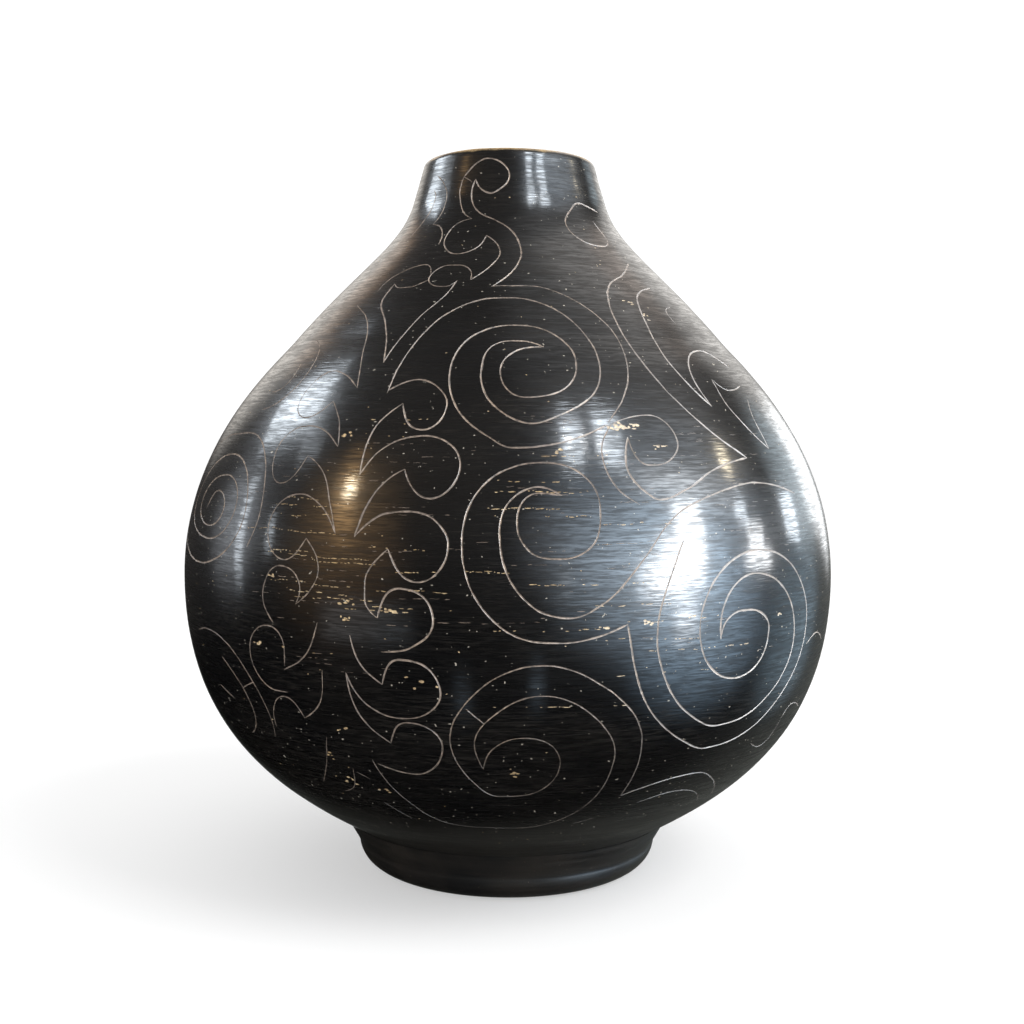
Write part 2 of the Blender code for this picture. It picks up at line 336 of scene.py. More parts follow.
# where each group of scrolls goes around the jar: its turn and how far its points may wander
SCROLL_PLACES = (
    (NECK_SCROLLS + SHOULDER_SCROLLS + BELLY_SCROLLS + LEAF_SCROLLS, 0.0, 0.0),
    (NECK_SCROLLS + SHOULDER_SCROLLS + BELLY_SCROLLS + LEAF_SCROLLS, 180.0, 0.6),
    (SIDE_SCROLLS, 88.0, 0.4),
    (SIDE_SCROLLS, -96.0, 0.4),
)

# rows of flecks worn through the gloss: height in mm, first and last azimuth, share of the row worn
WORN_ROWS = (
    (91.0, -30, -23, 0.6), (108.5, -34, -22, 0.7), (110.0, -19, -8, 0.7), (111.0, -38, -23, 0.7),
    (113.0, 3, 12, 0.6), (113.0, 17, 20, 0.6), (115.5, -17, -10, 0.6), (116.5, -6, 0, 0.8),
    (118.0, -30, -20, 0.8), (119.2, -39, -21, 0.8), (120.0, -38, -29, 0.6), (126.0, -45, -26, 0.8),
    (131.5, 5, 12, 0.6), (134.0, -3, 9, 0.7), (138.0, -2, 13, 0.7), (122.0, -24, -12, 0.3),
    (104.0, -28, -14, 0.4), (129.0, 14, 26, 0.3), (144.0, -40, -28, 0.3), (96.5, 14, 30, 0.4),
    (86.0, 16, 34, 0.3), (107.0, -33, -20, 0.5), (106.0, -24, -14, 0.4), (100.0, -2, 14, 0.3),
    (133.0, -40, -29, 0.5), (130.5, -39, -29, 0.5), (135.5, -38, -31, 0.4), (141.0, 0, 8, 0.4),
    (101.5, 16, 34, 0.4), (93.0, 20, 40, 0.3), (106.5, 12, 24, 0.4), (151.0, 18, 27, 0.3),
    (158.0, -26, -12, 0.2), (78.0, -6, 18, 0.2), (148.5, 2, 16, 0.3),
)
# patches of chips: azimuth, height in mm, spread in degrees, chips in the patch
CHIP_PATCHES = (
    (-26.5, 68, 1.4, 4), (-16.8, 104.8, 1.2, 8), (20.5, 101.2, 1.0, 6), (-29.5, 50, 1.8, 5),
    (-22.5, 48, 1.6, 4), (18.5, 156.5, 1.6, 18), (21.5, 157, 1.4, 12), (1, 57, 2.0, 5),
    (-13.0, 84, 2.4, 4), (7.5, 150, 1.6, 5), (25.2, 150.8, 1.2, 5), (-38.2, 112.5, 0.9, 5),
    (-24.0, 106.2, 1.2, 5), (-24.2, 101.5, 1.2, 6), (-41.5, 91.8, 0.9, 4), (-35.8, 91.5, 0.7, 3),
    (14.0, 100.5, 1.0, 4), (27.5, 102.5, 0.8, 4), (46.8, 99.8, 1.0, 4), (-28.0, 154, 1.2, 5),
    (-31.0, 58, 1.4, 4), (34, 196, 1.6, 4), (38, 192, 1.8, 5),
)
SCATTERED_CHIPS = 320
# level hair-fine scratches: how many rows, and the azimuths and heights (mm) that they start between
HAIR_ROWS = 90
HAIR_AZIMUTHS = (-46, 50)
HAIR_HEIGHTS = (84, 160)
# the ranges that a mark's length and width (mm) and its slope are drawn from
PATCH_MARK = ((0.5, 1.5), (0.3, 0.8), (-0.2, 0.2))
HAIR_MARK = ((0.8, 3.6), (0.09, 0.16), (-0.03, 0.03))
HAIR_GAP = (0.4, 2.5)
HAIR_DRIFT = 0.3
# how far around the belly a millimetre reaches, in degrees
BELLY_DEGREES = 0.55
SCATTERED_MARK = ((0.25, 0.6), (0.20, 0.36), (-0.4, 0.4))
# in a worn row the length is one of a few, and only the width and the slope are drawn from ranges
ROW_LENGTHS = (0.4, 0.6, 0.9, 1.4, 2.2)
ROW_MARK = ((0.14, 0.28), (-0.08, 0.08))
ROW_GAP = (0.15, 0.7)
ROW_DRIFT = 0.6
SCATTERED_HEIGHTS = (22, 236)


# a circle's quarter has a handle of this share of its radius
QUARTER_HANDLE = 0.5523
CURVE_STEPS = 24


def unit(vector):
    return vector / max(math.hypot(*vector), 1e-9)


def scroll_handles(points):
    """The direction that the line runs in at each point. It runs level or upright at the line's extremes."""
    directions = []
    last = len(points) - 1
    for i, point in enumerate(points):
        if i in (0, last):
            directions.append(None)
            continue
        before = point - points[i - 1]
        after = points[i + 1] - point
        turns_x = before[0] * after[0] < 0
        turns_y = before[1] * after[1] < 0
        if turns_x and not turns_y:
            directions.append(np.array((0.0, math.copysign(1.0, before[1] + after[1]))))
        elif turns_y and not turns_x:
            directions.append(np.array((math.copysign(1.0, before[0] + after[0]), 0.0)))
        else:
            directions.append(unit(unit(before) / math.hypot(*before) + unit(after) / math.hypot(*after)))
    return directions


def handle_length(chord, direction, other):
    """A handle for one end of a curve: a quarter of an ellipse between square ends, else about an arc."""
    size = math.hypot(*chord)
    if other is not None and abs(float(np.dot(direction, other))) < 0.01:
        return max(QUARTER_HANDLE * abs(float(np.dot(chord, direction))), 0.2 * size)
    slant = math.acos(min(max(float(np.dot(chord, direction)) / size, -1.0), 1.0))
    return min(size / (3 * math.cos(slant / 2) ** 2), 0.6 * size)


def scroll_curve(points, spacing):
    """Evenly spaced chart points along a smooth line through the given chart points."""
    directions = scroll_handles(points)
    fine = [points[0]]
    for i in range(len(points) - 1):
        start, end = points[i], points[i + 1]
        chord = end - start
        leave, arrive = directions[i], directions[i + 1]
        if leave is None and arrive is None:
            leave = arrive = unit(chord)
        elif leave is None:
            leave = unit(end - arrive * handle_length(chord, arrive, None) - start)
        elif arrive is None:
            arrive = unit(end - start - leave * handle_length(chord, leave, None))
        first = start + leave * handle_length(chord, leave, arrive)
        second = end - arrive * handle_length(chord, arrive, leave)
        for step in range(1, CURVE_STEPS + 1):
            t = step / CURVE_STEPS
            s = 1 - t
            fine.append(s**3 * start + 3 * s * s * t * first + 3 * s * t * t * second + t**3 * end)
    fine = np.array(fine)
    along = np.concatenate([[0], np.cumsum(np.hypot(*np.diff(fine, axis=0).T))])
    count = max(2, round(along[-1] / spacing))
    wanted = np.linspace(0, along[-1], count + 1)
    return np.stack([np.interp(wanted, along, fine[:, 0]), np.interp(wanted, along, fine[:, 1])], axis=1)


def smooth_noise(rng, count, knots):
    """A smooth random line of count values from -1 to 1, with a new value every knots steps."""
    size = max(2, count // knots + 2)
    values = np.array([rng.uniform(-1, 1) for _ in range(size)])
    return np.interp(np.linspace(0, size - 1, count), np.arange(size), values)


class Cuts:
    """Every cut line on the chart, as rows of samples."""

    def __init__(self):
        self.lines = []

    def add(self, centre, half_width, depth, kind):
        """A line of chart points, with a half width in chart units and a depth in metres at each of them."""
        depth = depth * np.concatenate([[0.0], np.ones(len(depth) - 2), [0.0]])
        middle = centre[:, 0].mean()
        turns = math.floor((middle + HALF_CHART) / (2 * HALF_CHART))
        centre = centre - np.array((turns * 2 * HALF_CHART, 0))
        copies = [0.0]
        reach = 6.0
        if centre[:, 0].max() > HALF_CHART - reach:
            copies.append(-2 * HALF_CHART)
        if centre[:, 0].min() < -HALF_CHART + reach:
            copies.append(2 * HALF_CHART)
        for shift in copies:
            self.lines.append((centre + np.array((shift, 0)), half_width, depth, kind))


def millimetre(y):
    """How many chart units one millimetre of clay is, at a chart y."""
    return MM * CHART / outline_at(y)[0]


def add_scrolls(cuts):
    """Every scroll, drawn with an unsteady hand: it shakes, and its width and depth change along it."""
    rng = random.Random(11)
    for scrolls, turn, wander in SCROLL_PLACES:
        for width, *path in scrolls:
            drift_x = rng.uniform(-wander, wander)
            drift_y = rng.uniform(-wander, wander) * 1.5
            points = [
                np.array((
                    math.radians(azimuth + turn + drift_x) * CHART,
                    float(chart_y((height + drift_y * (height < WANDER_BELOW)) * MM)),
                ))
                for azimuth, height in path
            ]
            scale = float(millimetre(np.mean([p[1] for p in points])))
            line = scroll_curve(points, CUT_STEP * scale)
            count = len(line)
            shake = np.stack([smooth_noise(rng, count, 5), smooth_noise(rng, count, 5)], axis=1)
            line[1:-1] += shake[1:-1] * SHAKE * scale
            here = millimetre(line[:, 1])
            quick = smooth_noise(rng, count, 2)
            slow = smooth_noise(rng, count, 12)
            uneven = 1 + WIDTH_QUICKLY * quick + WIDTH_SLOWLY * slow
            ends = np.minimum(np.arange(count), np.arange(count)[::-1]) * CUT_STEP
            taper = np.clip(END_SHARE + ends / TAPER_LENGTH, 0.0, 1.0)
            thinner = np.interp(outline_at(line[:, 1])[1], THINNER_HEIGHTS, THINNER_SHARES)
            bolder = np.interp(np.mean([azimuth for azimuth, _ in path]), BOLDER_AZIMUTHS, BOLDER_SHARES)
            half_width = 0.5 * width * bolder * uneven * taper * thinner * here
            depth = CUT_DEPTH * MM * taper * (1 + DEPTH_CHANGE * smooth_noise(rng, count, 4))
            cuts.add(line, half_width, depth, SCRATCH)


def drawn(rng, ranges):
    """A number from each of some ranges."""
    return [rng.uniform(*limits) for limits in ranges]


def add_fleck(cuts, rng, azimuth, height, length, width, slope, kind=CHIP):
    """One short worn mark: a small rounded patch of bare clay."""
    y = float(chart_y(height * MM))
    scale = float(millimetre(y))
    steps = max(3, round(length / FLECK_STEP))
    along = np.linspace(-0.5, 0.5, steps + 1)
    x = math.radians(azimuth) * CHART + along * length * scale
    wobble = np.array([rng.uniform(-0.05, 0.05) for _ in along])
    line = np.stack([x, y + (along * length * slope + wobble) * scale], axis=1)
    body = np.sqrt(np.clip(1 - (1.85 * along) ** 2, 0.12, 1))
    rough = np.array([rng.uniform(0.8, 1.2) for _ in along])
    cuts.add(line, 0.5 * width * body * rough * scale, np.full(len(along), FLECK_DEPTH * MM) * body, kind)


def add_worn_row(cuts, rng, height, first, last, share):
    """A level row of flecks, broken by gaps, where rubbing has gone through the gloss."""
    azimuth = first
    drift = 0.0
    while azimuth < last:
        length = rng.choice(ROW_LENGTHS) * rng.uniform(0.8, 1.2)
        degrees = math.degrees(float(millimetre(chart_y(height * MM))) / CHART)
        drift = max(-ROW_DRIFT, min(ROW_DRIFT, drift + rng.uniform(-0.25, 0.25)))
        if rng.random() < share:
            place = azimuth + length * degrees / 2
            add_fleck(cuts, rng, place, height + drift, length, *drawn(rng, ROW_MARK))
        azimuth += (length + rng.uniform(*ROW_GAP)) * degrees


def add_wear(cuts):
    """The worn rows, chipped patches and hair-fine scratches, front and back, and chips all round."""
    rng = random.Random(23)
    for turn in (0.0, 180.0):
        for height, first, last, share in WORN_ROWS:
            add_worn_row(cuts, rng, height, first + turn, last + turn, share)
        for azimuth, height, spread, count in CHIP_PATCHES:
            for _ in range(count):
                place = azimuth + turn + rng.gauss(0, spread / 2)
                level = height + rng.gauss(0, spread / 3)
                add_fleck(cuts, rng, place, level, *drawn(rng, PATCH_MARK))
        for _ in range(HAIR_ROWS):
            azimuth = rng.uniform(*HAIR_AZIMUTHS) + turn
            height = rng.uniform(*HAIR_HEIGHTS)
            for _ in range(rng.randint(1, 4)):
                length, width, slope = drawn(rng, HAIR_MARK)
                add_fleck(cuts, rng, azimuth, height, length, width, slope, SCRATCH)
                azimuth += (length + rng.uniform(*HAIR_GAP)) * BELLY_DEGREES
                height += rng.uniform(-HAIR_DRIFT, HAIR_DRIFT)
    for _ in range(SCATTERED_CHIPS):
        azimuth, height = drawn(rng, ((-180, 180), SCATTERED_HEIGHTS))
        add_fleck(cuts, rng, azimuth, height, *drawn(rng, SCATTERED_MARK))


# ---------------------------------------------------------------- meshing one band of the outside
def cut_finder(lines):
    """A function that says how deep the clay is cut at a chart point, and with which finish."""
    centres = np.concatenate([line[0] for line in lines])
    widths = np.concatenate([line[1] for line in lines])
    depths = np.concatenate([line[2] for line in lines])
    kinds = np.concatenate([np.full(len(line[0]), line[3]) for line in lines]).tolist()
    first = np.cumsum([0] + [len(line[0]) for line in lines])
    starts = set(first[:-1].tolist())
    tree = kdtree.KDTree(len(centres))
    for i, (x, y) in enumerate(centres.tolist()):
        tree.insert((x, y, 0.0), i)
    tree.balance()
    centres = centres.tolist()
    widths = widths.tolist()
    depths = depths.tolist()

    def depth_at(x, y, reach):
        deepest = 0.0
        kind = SCRATCH
        for _, i, _ in tree.find_range((x, y, 0.0), reach):
            for j in (i - 1, i):
                if j < 0 or j + 1 >= len(centres) or (j + 1) in starts:
                    continue
                ax, ay = centres[j]
                bx, by = centres[j + 1]
                dx, dy = bx - ax, by - ay
                size = dx * dx + dy * dy
                t = min(max(((x - ax) * dx + (y - ay) * dy) / size, 0.0), 1.0) if size else 0.0
                away = math.hypot(x - ax - t * dx, y - ay - t * dy)
                half = widths[j] + (widths[j + 1] - widths[j]) * t
                if away < half:
                    here = (depths[j] + (depths[j + 1] - depths[j]) * t) * (1 - away / half)
                    if here > deepest:
                        deepest = here
                        kind = kinds[j]
        return deepest, kind

    def near(x, y, reach):
        return tree.find(Vector((x, y, 0.0)))[2] < reach

    return depth_at, near


def rails(line):
    """The two edges of a cut line, as chart points."""
    centre, half_width, _, _ = line
    along = np.gradient(centre, axis=0)
    along /= np.maximum(np.hypot(*along.T), 1e-9)[:, None]
    across = np.stack([-along[:, 1], along[:, 0]], axis=1) * half_width[:, None]
    return centre + across, centre - across


# millimetres: between the points that fill the space between cuts, along a band's two edges, the clear
# space around a cut, and how far the filling points stand out of line
BACKGROUND_SPACING = 3.0
BORDER_SPACING = 1.6
CLEAR_OF_CUTS = 1.25
JOG = 0.25
# the rows of an even triangular grid are this share of its spacing apart
ROW_SHARE = 0.87
# a face with no corner deeper than this is uncut clay
UNCUT_DEPTH = 0.001 * MM


def within_sides(run, low, high):
    """The parts of a run of chart points that lie on the chart, cut where the run crosses its sides."""
    parts = [[]]
    before = None
    for point in map(tuple, run.tolist()):
        is_on = abs(point[0]) < HALF_CHART
        if before is not None and is_on != (abs(before[0]) < HALF_CHART):
            side = math.copysign(HALF_CHART, before[0] + point[0])
            share = (side - before[0]) / (point[0] - before[0])
            crossing = (side, round(before[1] + (point[1] - before[1]) * share, 3))
            if is_on:
                parts.append([crossing])
            else:
                parts[-1].append(crossing)
        if is_on and low < point[1] < high:
            parts[-1].append(point)
        elif parts[-1]:
            parts.append([])
        before = point
    return [part for part in parts if len(part) > 1]


def cut_runs(lines, low, high, margin):
    """The cut lines near a band as runs of chart points: each one's middle, its two rails and its ends."""
    runs = []
    for line in lines:
        if line[0][:, 1].max() < low - margin or line[0][:, 1].min() > high + margin:
            continue
        left, right = rails(line)
        caps = [np.array((left[end], line[0][end], right[end])) for end in (0, -1)]
        for run in (line[0], left, right, *caps):
            runs += within_sides(run, low - margin, high + margin)
    return runs


def band_border(runs, low, high, row_ys, apart):
    """The closed outline of a band's chart. Its two sides have a point wherever a cut crosses them."""
    crossings = sorted(
        {point[1] for run in runs for point in run if point[0] == HALF_CHART and low < point[1] < high}
    )
    side_ys = [y for y in row_ys[1:-1] if all(abs(y - crossing) > apart for crossing in crossings)]
    side_ys = sorted(side_ys + crossings)
    around = [math.tau * float(outline_at(y)[0]) for y in (low, high)]
    low_count, high_count = (round(length / (BORDER_SPACING * MM)) for length in around)
    border = [(x, low) for x in np.linspace(-HALF_CHART, HALF_CHART, low_count + 1)]
    border += [(HALF_CHART, y) for y in side_ys]
    border += [(x, high) for x in np.linspace(HALF_CHART, -HALF_CHART, high_count + 1)]
    border += [(-HALF_CHART, y) for y in side_ys[::-1]]
    return border + border[:1]


def background_points(row_ys, near):
    """The points between the cuts, in staggered rows with a little disorder."""
    rng = random.Random(5)
    points = []
    for i, y in enumerate(row_ys[1:-1]):
        scale = float(millimetre(y))
        count = round(math.tau * CHART / (BACKGROUND_SPACING * scale))
        for j in range(count):
            x = (-0.5 + (j + 0.5 * (i % 2) + 0.25) / count) * 2 * HALF_CHART
            jog_x = rng.uniform(-JOG, JOG) * scale
            jog_y = rng.uniform(-JOG, JOG) * scale
            is_inside = abs(x) < HALF_CHART - 1.5 * scale
            if is_inside and not near(x + jog_x, y + jog_y, CLEAR_OF_CUTS * scale):
                points.append((x + jog_x, y + jog_y))
    return points


def chart_band(lines, low, high):
    """Triangles of the outside between two chart heights, with every cut line as edges in them."""
    depth_at, near = cut_finder(lines)
    widest = max(float(millimetre(low)), float(millimetre(high)))
    runs = cut_runs(lines, low, high, 2.0 * widest)
    tall = (high - low) / float(millimetre((low + high) / 2))
    rows = max(2, round(tall / (BACKGROUND_SPACING * ROW_SHARE)))
    row_ys = [low + (high - low) * i / rows for i in range(rows + 1)]
    points = []
    edges = []
    for run in [band_border(runs, low, high, row_ys, 0.3 * widest)] + runs:
        start = len(points)
        points.extend(run)
        edges.extend((start + i, start + i + 1) for i in range(len(run) - 1))
    points += background_points(row_ys, near)

    flat, _, faces, *_ = delaunay_2d_cdt([Vector(p) for p in points], edges, [], 0, 1e-5, True)
    flat = np.array([(p.x, p.y) for p in flat])
    faces = np.array([f for f in faces if len(f) == 3])
    middle = flat[faces].mean(axis=1)
    kept = (np.abs(middle[:, 0]) < HALF_CHART) & (middle[:, 1] > low) & (middle[:, 1] < high)
    used, faces = np.unique(faces[kept], return_inverse=True)
    faces = faces.reshape(-1, 3)
    flat = flat[used]
    depths = np.array([depth_at(x, y, widest)[0] for x, y in flat.tolist()])
    corners = flat[faces]
    turn = np.cross(corners[:, 1] - corners[:, 0], corners[:, 2] - corners[:, 0])
    faces[turn < 0] = faces[turn < 0][:, ::-1]
    middles = corners.mean(axis=1)
    finishes = np.full(len(faces), GLOSS)
    for i in np.flatnonzero(depths[faces].max(axis=1) > UNCUT_DEPTH):
        depth, kind = depth_at(*middles[i].tolist(), widest)
        if depth > 0:
            finishes[i] = kind
    return flat, faces, depths, finishes


# ---------------------------------------------------------------- building the pieces
def arc(centre, radius, first_degrees, last_degrees, steps):
    """Points along an arc, as radius and height. Degrees grow anticlockwise from pointing off the axis."""
    points = []
    for i in range(steps + 1):
        angle = math.radians(first_degrees + (last_degrees - first_degrees) * i / steps)
        points.append(centre + Vector((math.cos(angle), math.sin(angle))) * radius)
    return points


def subdivided(points, longest):
    """The same profile with points added so that no step is longer than the given length."""
    result = [points[0]]
    for before, after in zip(points, points[1:]):
        steps = max(1, math.ceil((after - before).length / longest))
        result += [before.lerp(after, i / steps) for i in range(1, steps + 1)]
    return result


class Build:
    """A piece being put together: points, smooth normals, faces, and each face's material and shading."""

    def __init__(self):
        self.points = []
        self.normals = []
        self.faces = []
        self.materials = []
        self.flat = []

    def add_points(self, positions, normals):
        start = len(self.points)
        self.points.extend(map(tuple, positions.tolist()))
        self.normals.extend(map(tuple, normals.tolist()))
        return list(range(start, len(self.points)))

    def add_face(self, face, material, flat=False):
        if len(set(face)) > 2:
            self.faces.append(tuple(face))
            self.materials.append(material)
            self.flat.append(flat)


COLUMNS = 192
# an uneven ring's waves: how many around it, their share, and how fast they turn with the phase
RING_WAVES = ((5, 0.5, 1.0), (11, 0.3, 2.3), (2, 0.6, 0.7))
WALL_ROW = 4 * MM
LIP_ROW = 0.6 * MM
FOOT_ROW = 1.2 * MM
FLOOR_RINGS = 14
# the foot is even below this height, where it stands
FOOT_EVEN_BELOW = 2 * MM
# chart units: how close to a band's edge a point is on it, and how close two points at its side are one
ON_EDGE = 1e-3
SAME_POINT = 0.01


def ring(build, profile, i, unevenness=0.0, phase=0.0):
    """A ring of points around the jar at one point of a profile, with normals from the profile's run."""
    before = profile[max(i - 1, 0)]
    after = profile[min(i + 1, len(profile) - 1)]
    along = (after - before).normalized()
    out = Vector((along.y, -along.x))
    angles = np.linspace(-math.pi, math.pi, COLUMNS, endpoint=False)
    waves = sum(share * np.cos(count * angles + lead * phase) for count, share, lead in RING_WAVES)
    stand = unevenness * waves
    reach = profile[i].x + out.x * stand
    height = profile[i].y + out.y * stand
    positions = np.stack([reach * np.sin(angles), -reach * np.cos(angles), height], axis=1)
    normals = np.stack([out.x * np.sin(angles), -out.x * np.cos(angles), np.full(COLUMNS, out.y)], axis=1)
    return build.add_points(positions, normals)


def join_rings(build, first, second, material, flat=False):
    """Quads between two rings of COLUMNS points, the first one lower on the outer side."""
    for i in range(COLUMNS):
        j = (i + 1) % COLUMNS
        build.add_face((first[i], first[j], second[j], second[i]), material, flat)


def azimuth_of(point):
    return math.atan2(point[0], -point[1])


def zip_rings(build, lower, upper, material, flat=True):
    """Triangles between two rings with different numbers of points, both in order of azimuth."""
    a = [azimuth_of(build.points[p]) for p in lower]
    b = [azimuth_of(build.points[p]) for p in upper]
    a.append(a[0] + math.tau)
    b.append(b[0] + math.tau)
    i = j = 0
    while i < len(lower) or j < len(upper):
        if j == len(upper) or (i < len(lower) and a[i + 1] <= b[j + 1]):
            build.add_face((lower[i], lower[(i + 1) % len(lower)], upper[j % len(upper)]), material, flat)
            i += 1
        else:
            build.add_face((lower[i % len(lower)], upper[(j + 1) % len(upper)], upper[j]), material, flat)
            j += 1


def outside_band(build, lines, bottom, top):
    """The outside between two heights, with its cuts. Gives back its lowest and highest rings."""
    low = float(chart_y(bottom))
    high = float(chart_y(top))
    flat, faces, depths, finishes = chart_band(lines, low, high)
    x, y = flat[:, 0], flat[:, 1]
    positions = wrapped(x, y, -depths)
    normals = wrapped_normals(x, y)
    welded = np.arange(len(flat))
    sides = np.flatnonzero(np.abs(x) > HALF_CHART - ON_EDGE)
    sides = sides[np.argsort(y[sides], kind="stable")]
    for before, after in zip(sides, sides[1:]):
        if y[after] - y[before] < SAME_POINT:
            welded[after] = welded[before]
    ids = np.array(build.add_points(positions, normals))
    for face, finish in zip(faces, finishes.tolist()):
        build.add_face(ids[welded[face]].tolist(), finish, finish != GLOSS)
    rings = []
    for level in (low, high):
        on = np.flatnonzero((np.abs(y - level) < ON_EDGE) & (x < HALF_CHART - ON_EDGE))
        on = on[np.argsort(x[on])]
        rings.append(ids[on].tolist())
    return rings


def make_piece(name, build, materials):
    """The finished object of a build, with flat or smooth custom normals face by face."""
    mesh = bpy.data.meshes.new(name)
    used = sorted(set(i for face in build.faces for i in face))
    index = {old: new for new, old in enumerate(used)}
    mesh.from_pydata([build.points[i] for i in used], [], [[index[i] for i in f] for f in build.faces])
    for material in materials:
        mesh.materials.append(material)
    mesh.polygons.foreach_set("material_index", build.materials)
    mesh.polygons.foreach_set("use_smooth", [True] * len(build.faces))
    mesh.update()
    normals = []
    for polygon, face, flat in zip(mesh.polygons, build.faces, build.flat):
        own = tuple(polygon.normal)
        for corner in face:
            normals.append(own if flat else build.normals[corner])
    mesh.normals_split_custom_set(normals)
    return link_object(name, mesh)


def wall_heights(bottom, top):
    steps = max(3, round((top - bottom) / WALL_ROW))
    return [bottom + (top - bottom) * i / steps for i in range(steps + 1)]


def seam_middle(outer_height, push):
    """The point half way through the wall on a joint, pushed a little off it, as radius and height."""
    outer = outline_at(chart_y(outer_height))
    inner = inside_point(outer_height + JOINT_RISE)
    return Vector(((float(outer[0]) + inner.x) / 2, (outer_height + inner.y) / 2 + push))


def wall_piece(name, lines, bottom, top, low_face, inner_bottom, materials):
    """A band of the wall, from the points of its lower joint face up to its upper joint."""
    build = Build()
    low_ring, high_ring = outside_band(build, lines, bottom, top)
    inner = [inside_point(z) for z in wall_heights(inner_bottom, top + JOINT_RISE)]
    profile = low_face + inner + [seam_middle(top, -JOINT_CLEARANCE)]
    rings = [ring(build, profile[::-1], len(profile) - 1 - i) for i in range(len(profile))]
    zip_rings(build, rings[0], low_ring, INSIDE)
    for i in range(len(rings) - 1):
        is_joint = i < len(low_face) or i == len(rings) - 2
        join_rings(build, rings[i + 1], rings[i], INSIDE, flat=is_joint)
    zip_rings(build, high_ring, rings[-1], INSIDE)
    return make_piece(name, build, materials)


def banded_piece(name, lines, bottom, top, materials):
    """A band of the wall, from one lap joint to the next."""
    low_face = [seam_middle(bottom, JOINT_CLEARANCE)]
    return wall_piece(name, lines, bottom, top, low_face, bottom + JOINT_RISE, materials)


def crease_directions():
    """The outline's lowest point, the direction straight out of it, and the direction up along it."""
    radius, height, out_r, out_z = (float(v) for v in outline_at(0.0))
    return Vector((radius, height)), Vector((out_r, out_z)), Vector((-out_z, out_r))


def bowl_piece(name, lines, materials):
    """The bowl under the belly, tucked in over the foot ring at its lower end."""
    crease, outwards, along = crease_directions()
    tucked_end = crease - along * TUCK_LENGTH
    low_face = [tucked_end, tucked_end - outwards * WALL_AT_BELLY]
    return wall_piece(name, lines, JOINTS[0], JOINTS[1], low_face, JOINTS[0], materials)


def lip_piece(name, lines, materials):
    """The last coil, with its rounded edge, which is worn and a little uneven."""
    build = Build()
    low_ring, high_ring = outside_band(build, lines, JOINTS[4], LIP_SIDE_TOP)
    lean = math.radians(-LIP_LEAN)
    climb = LIP_HEIGHT - LIP_SIDE_TOP - LIP_EDGE_OUTER * (1 - math.sin(lean))
    edge_start = LIP_SIDE + leaning(LIP_LEAN) * climb / math.cos(lean)
    crest = edge_start.x - LIP_EDGE_OUTER * math.cos(lean)
    hollow = LIP_SIDE.x - LIP_THICKNESS + LIP_EDGE_INNER
    outer_edge = arc(Vector((crest, LIP_HEIGHT - LIP_EDGE_OUTER)), LIP_EDGE_OUTER, -LIP_LEAN, 90, 10)
    inner_edge = arc(Vector((hollow, LIP_HEIGHT - LIP_EDGE_INNER)), LIP_EDGE_INNER, 90, 180, 8)
    side = [Vector((LIP_SIDE.x, LIP_SIDE_TOP))]
    edge = subdivided(side + outer_edge + inner_edge, LIP_ROW)
    steps = len(edge) - 1
    inner_low = inside_point(JOINTS[4] + JOINT_RISE)
    inner = [edge[-1].lerp(inner_low, i / 4) for i in range(1, 5)]
    profile = edge + inner + [seam_middle(JOINTS[4], JOINT_CLEARANCE)]
    rings = []
    for i in range(len(profile)):
        rough = LIP_UNEVENNESS if 2 < i < steps + 2 else 0.0
        rings.append(ring(build, profile, i, rough, i * 0.21))
    zip_rings(build, high_ring, rings[1], GLOSS, flat=False)
    for i in range(1, len(rings) - 1):
        material = GLOSS if i < steps else INSIDE
        join_rings(build, rings[i], rings[i + 1], material, flat=i == len(rings) - 2)
    zip_rings(build, rings[-1], low_ring, INSIDE)
    return make_piece(name, build, materials)


def closed_turning(name, profile, materials, outer_steps):
    """A ring turned from a closed profile, which runs down its slightly uneven outer side first."""
    build = Build()
    upwards = profile[::-1]
    last = len(upwards) - 1
    rings = []
    for i in range(len(profile)):
        is_wall = 0 < i < outer_steps and profile[i].y > FOOT_EVEN_BELOW
        rings.append(ring(build, upwards, last - i, FOOT_UNEVENNESS if is_wall else 0.0, 0.35 * i))
    for i in range(len(rings)):
        after = rings[(i + 1) % len(rings)]
        is_outer = i < outer_steps
        join_rings(build, after, rings[i], 0 if is_outer else 1, flat=i >= len(rings) - 3)
    return make_piece(name, build, materials)


def foot_piece(name, materials):
    """The foot ring: its flared wall under the crease, round edge, narrow standing face and recess."""
    crease, outwards, along = crease_directions()
    top_outer = crease + outwards * FOOT_SEAM
    top_inner = top_outer - along * TUCK_LENGTH
    round_edge = arc(Vector((FOOT_WALL_RADIUS - FOOT_ROUNDING, FOOT_ROUNDING)), FOOT_ROUNDING, 0, -90, 16)
    inner_centre = Vector((FOOT_INNER_RADIUS + FOOT_INNER_ROUNDING, FOOT_INNER_ROUNDING))
    inner_edge = arc(inner_centre, FOOT_INNER_ROUNDING, -90, -180, 6)
    ledge = FLOOR_UNDERSIDE - FOOT_GAP
    outer = subdivided([top_outer] + round_edge, FOOT_ROW)
    under = [Vector((FOOT_INNER_RADIUS, ledge)), Vector((top_inner.x, ledge)), top_inner]
    return closed_turning(name, outer + inner_edge + under, materials, len(outer) + 4)


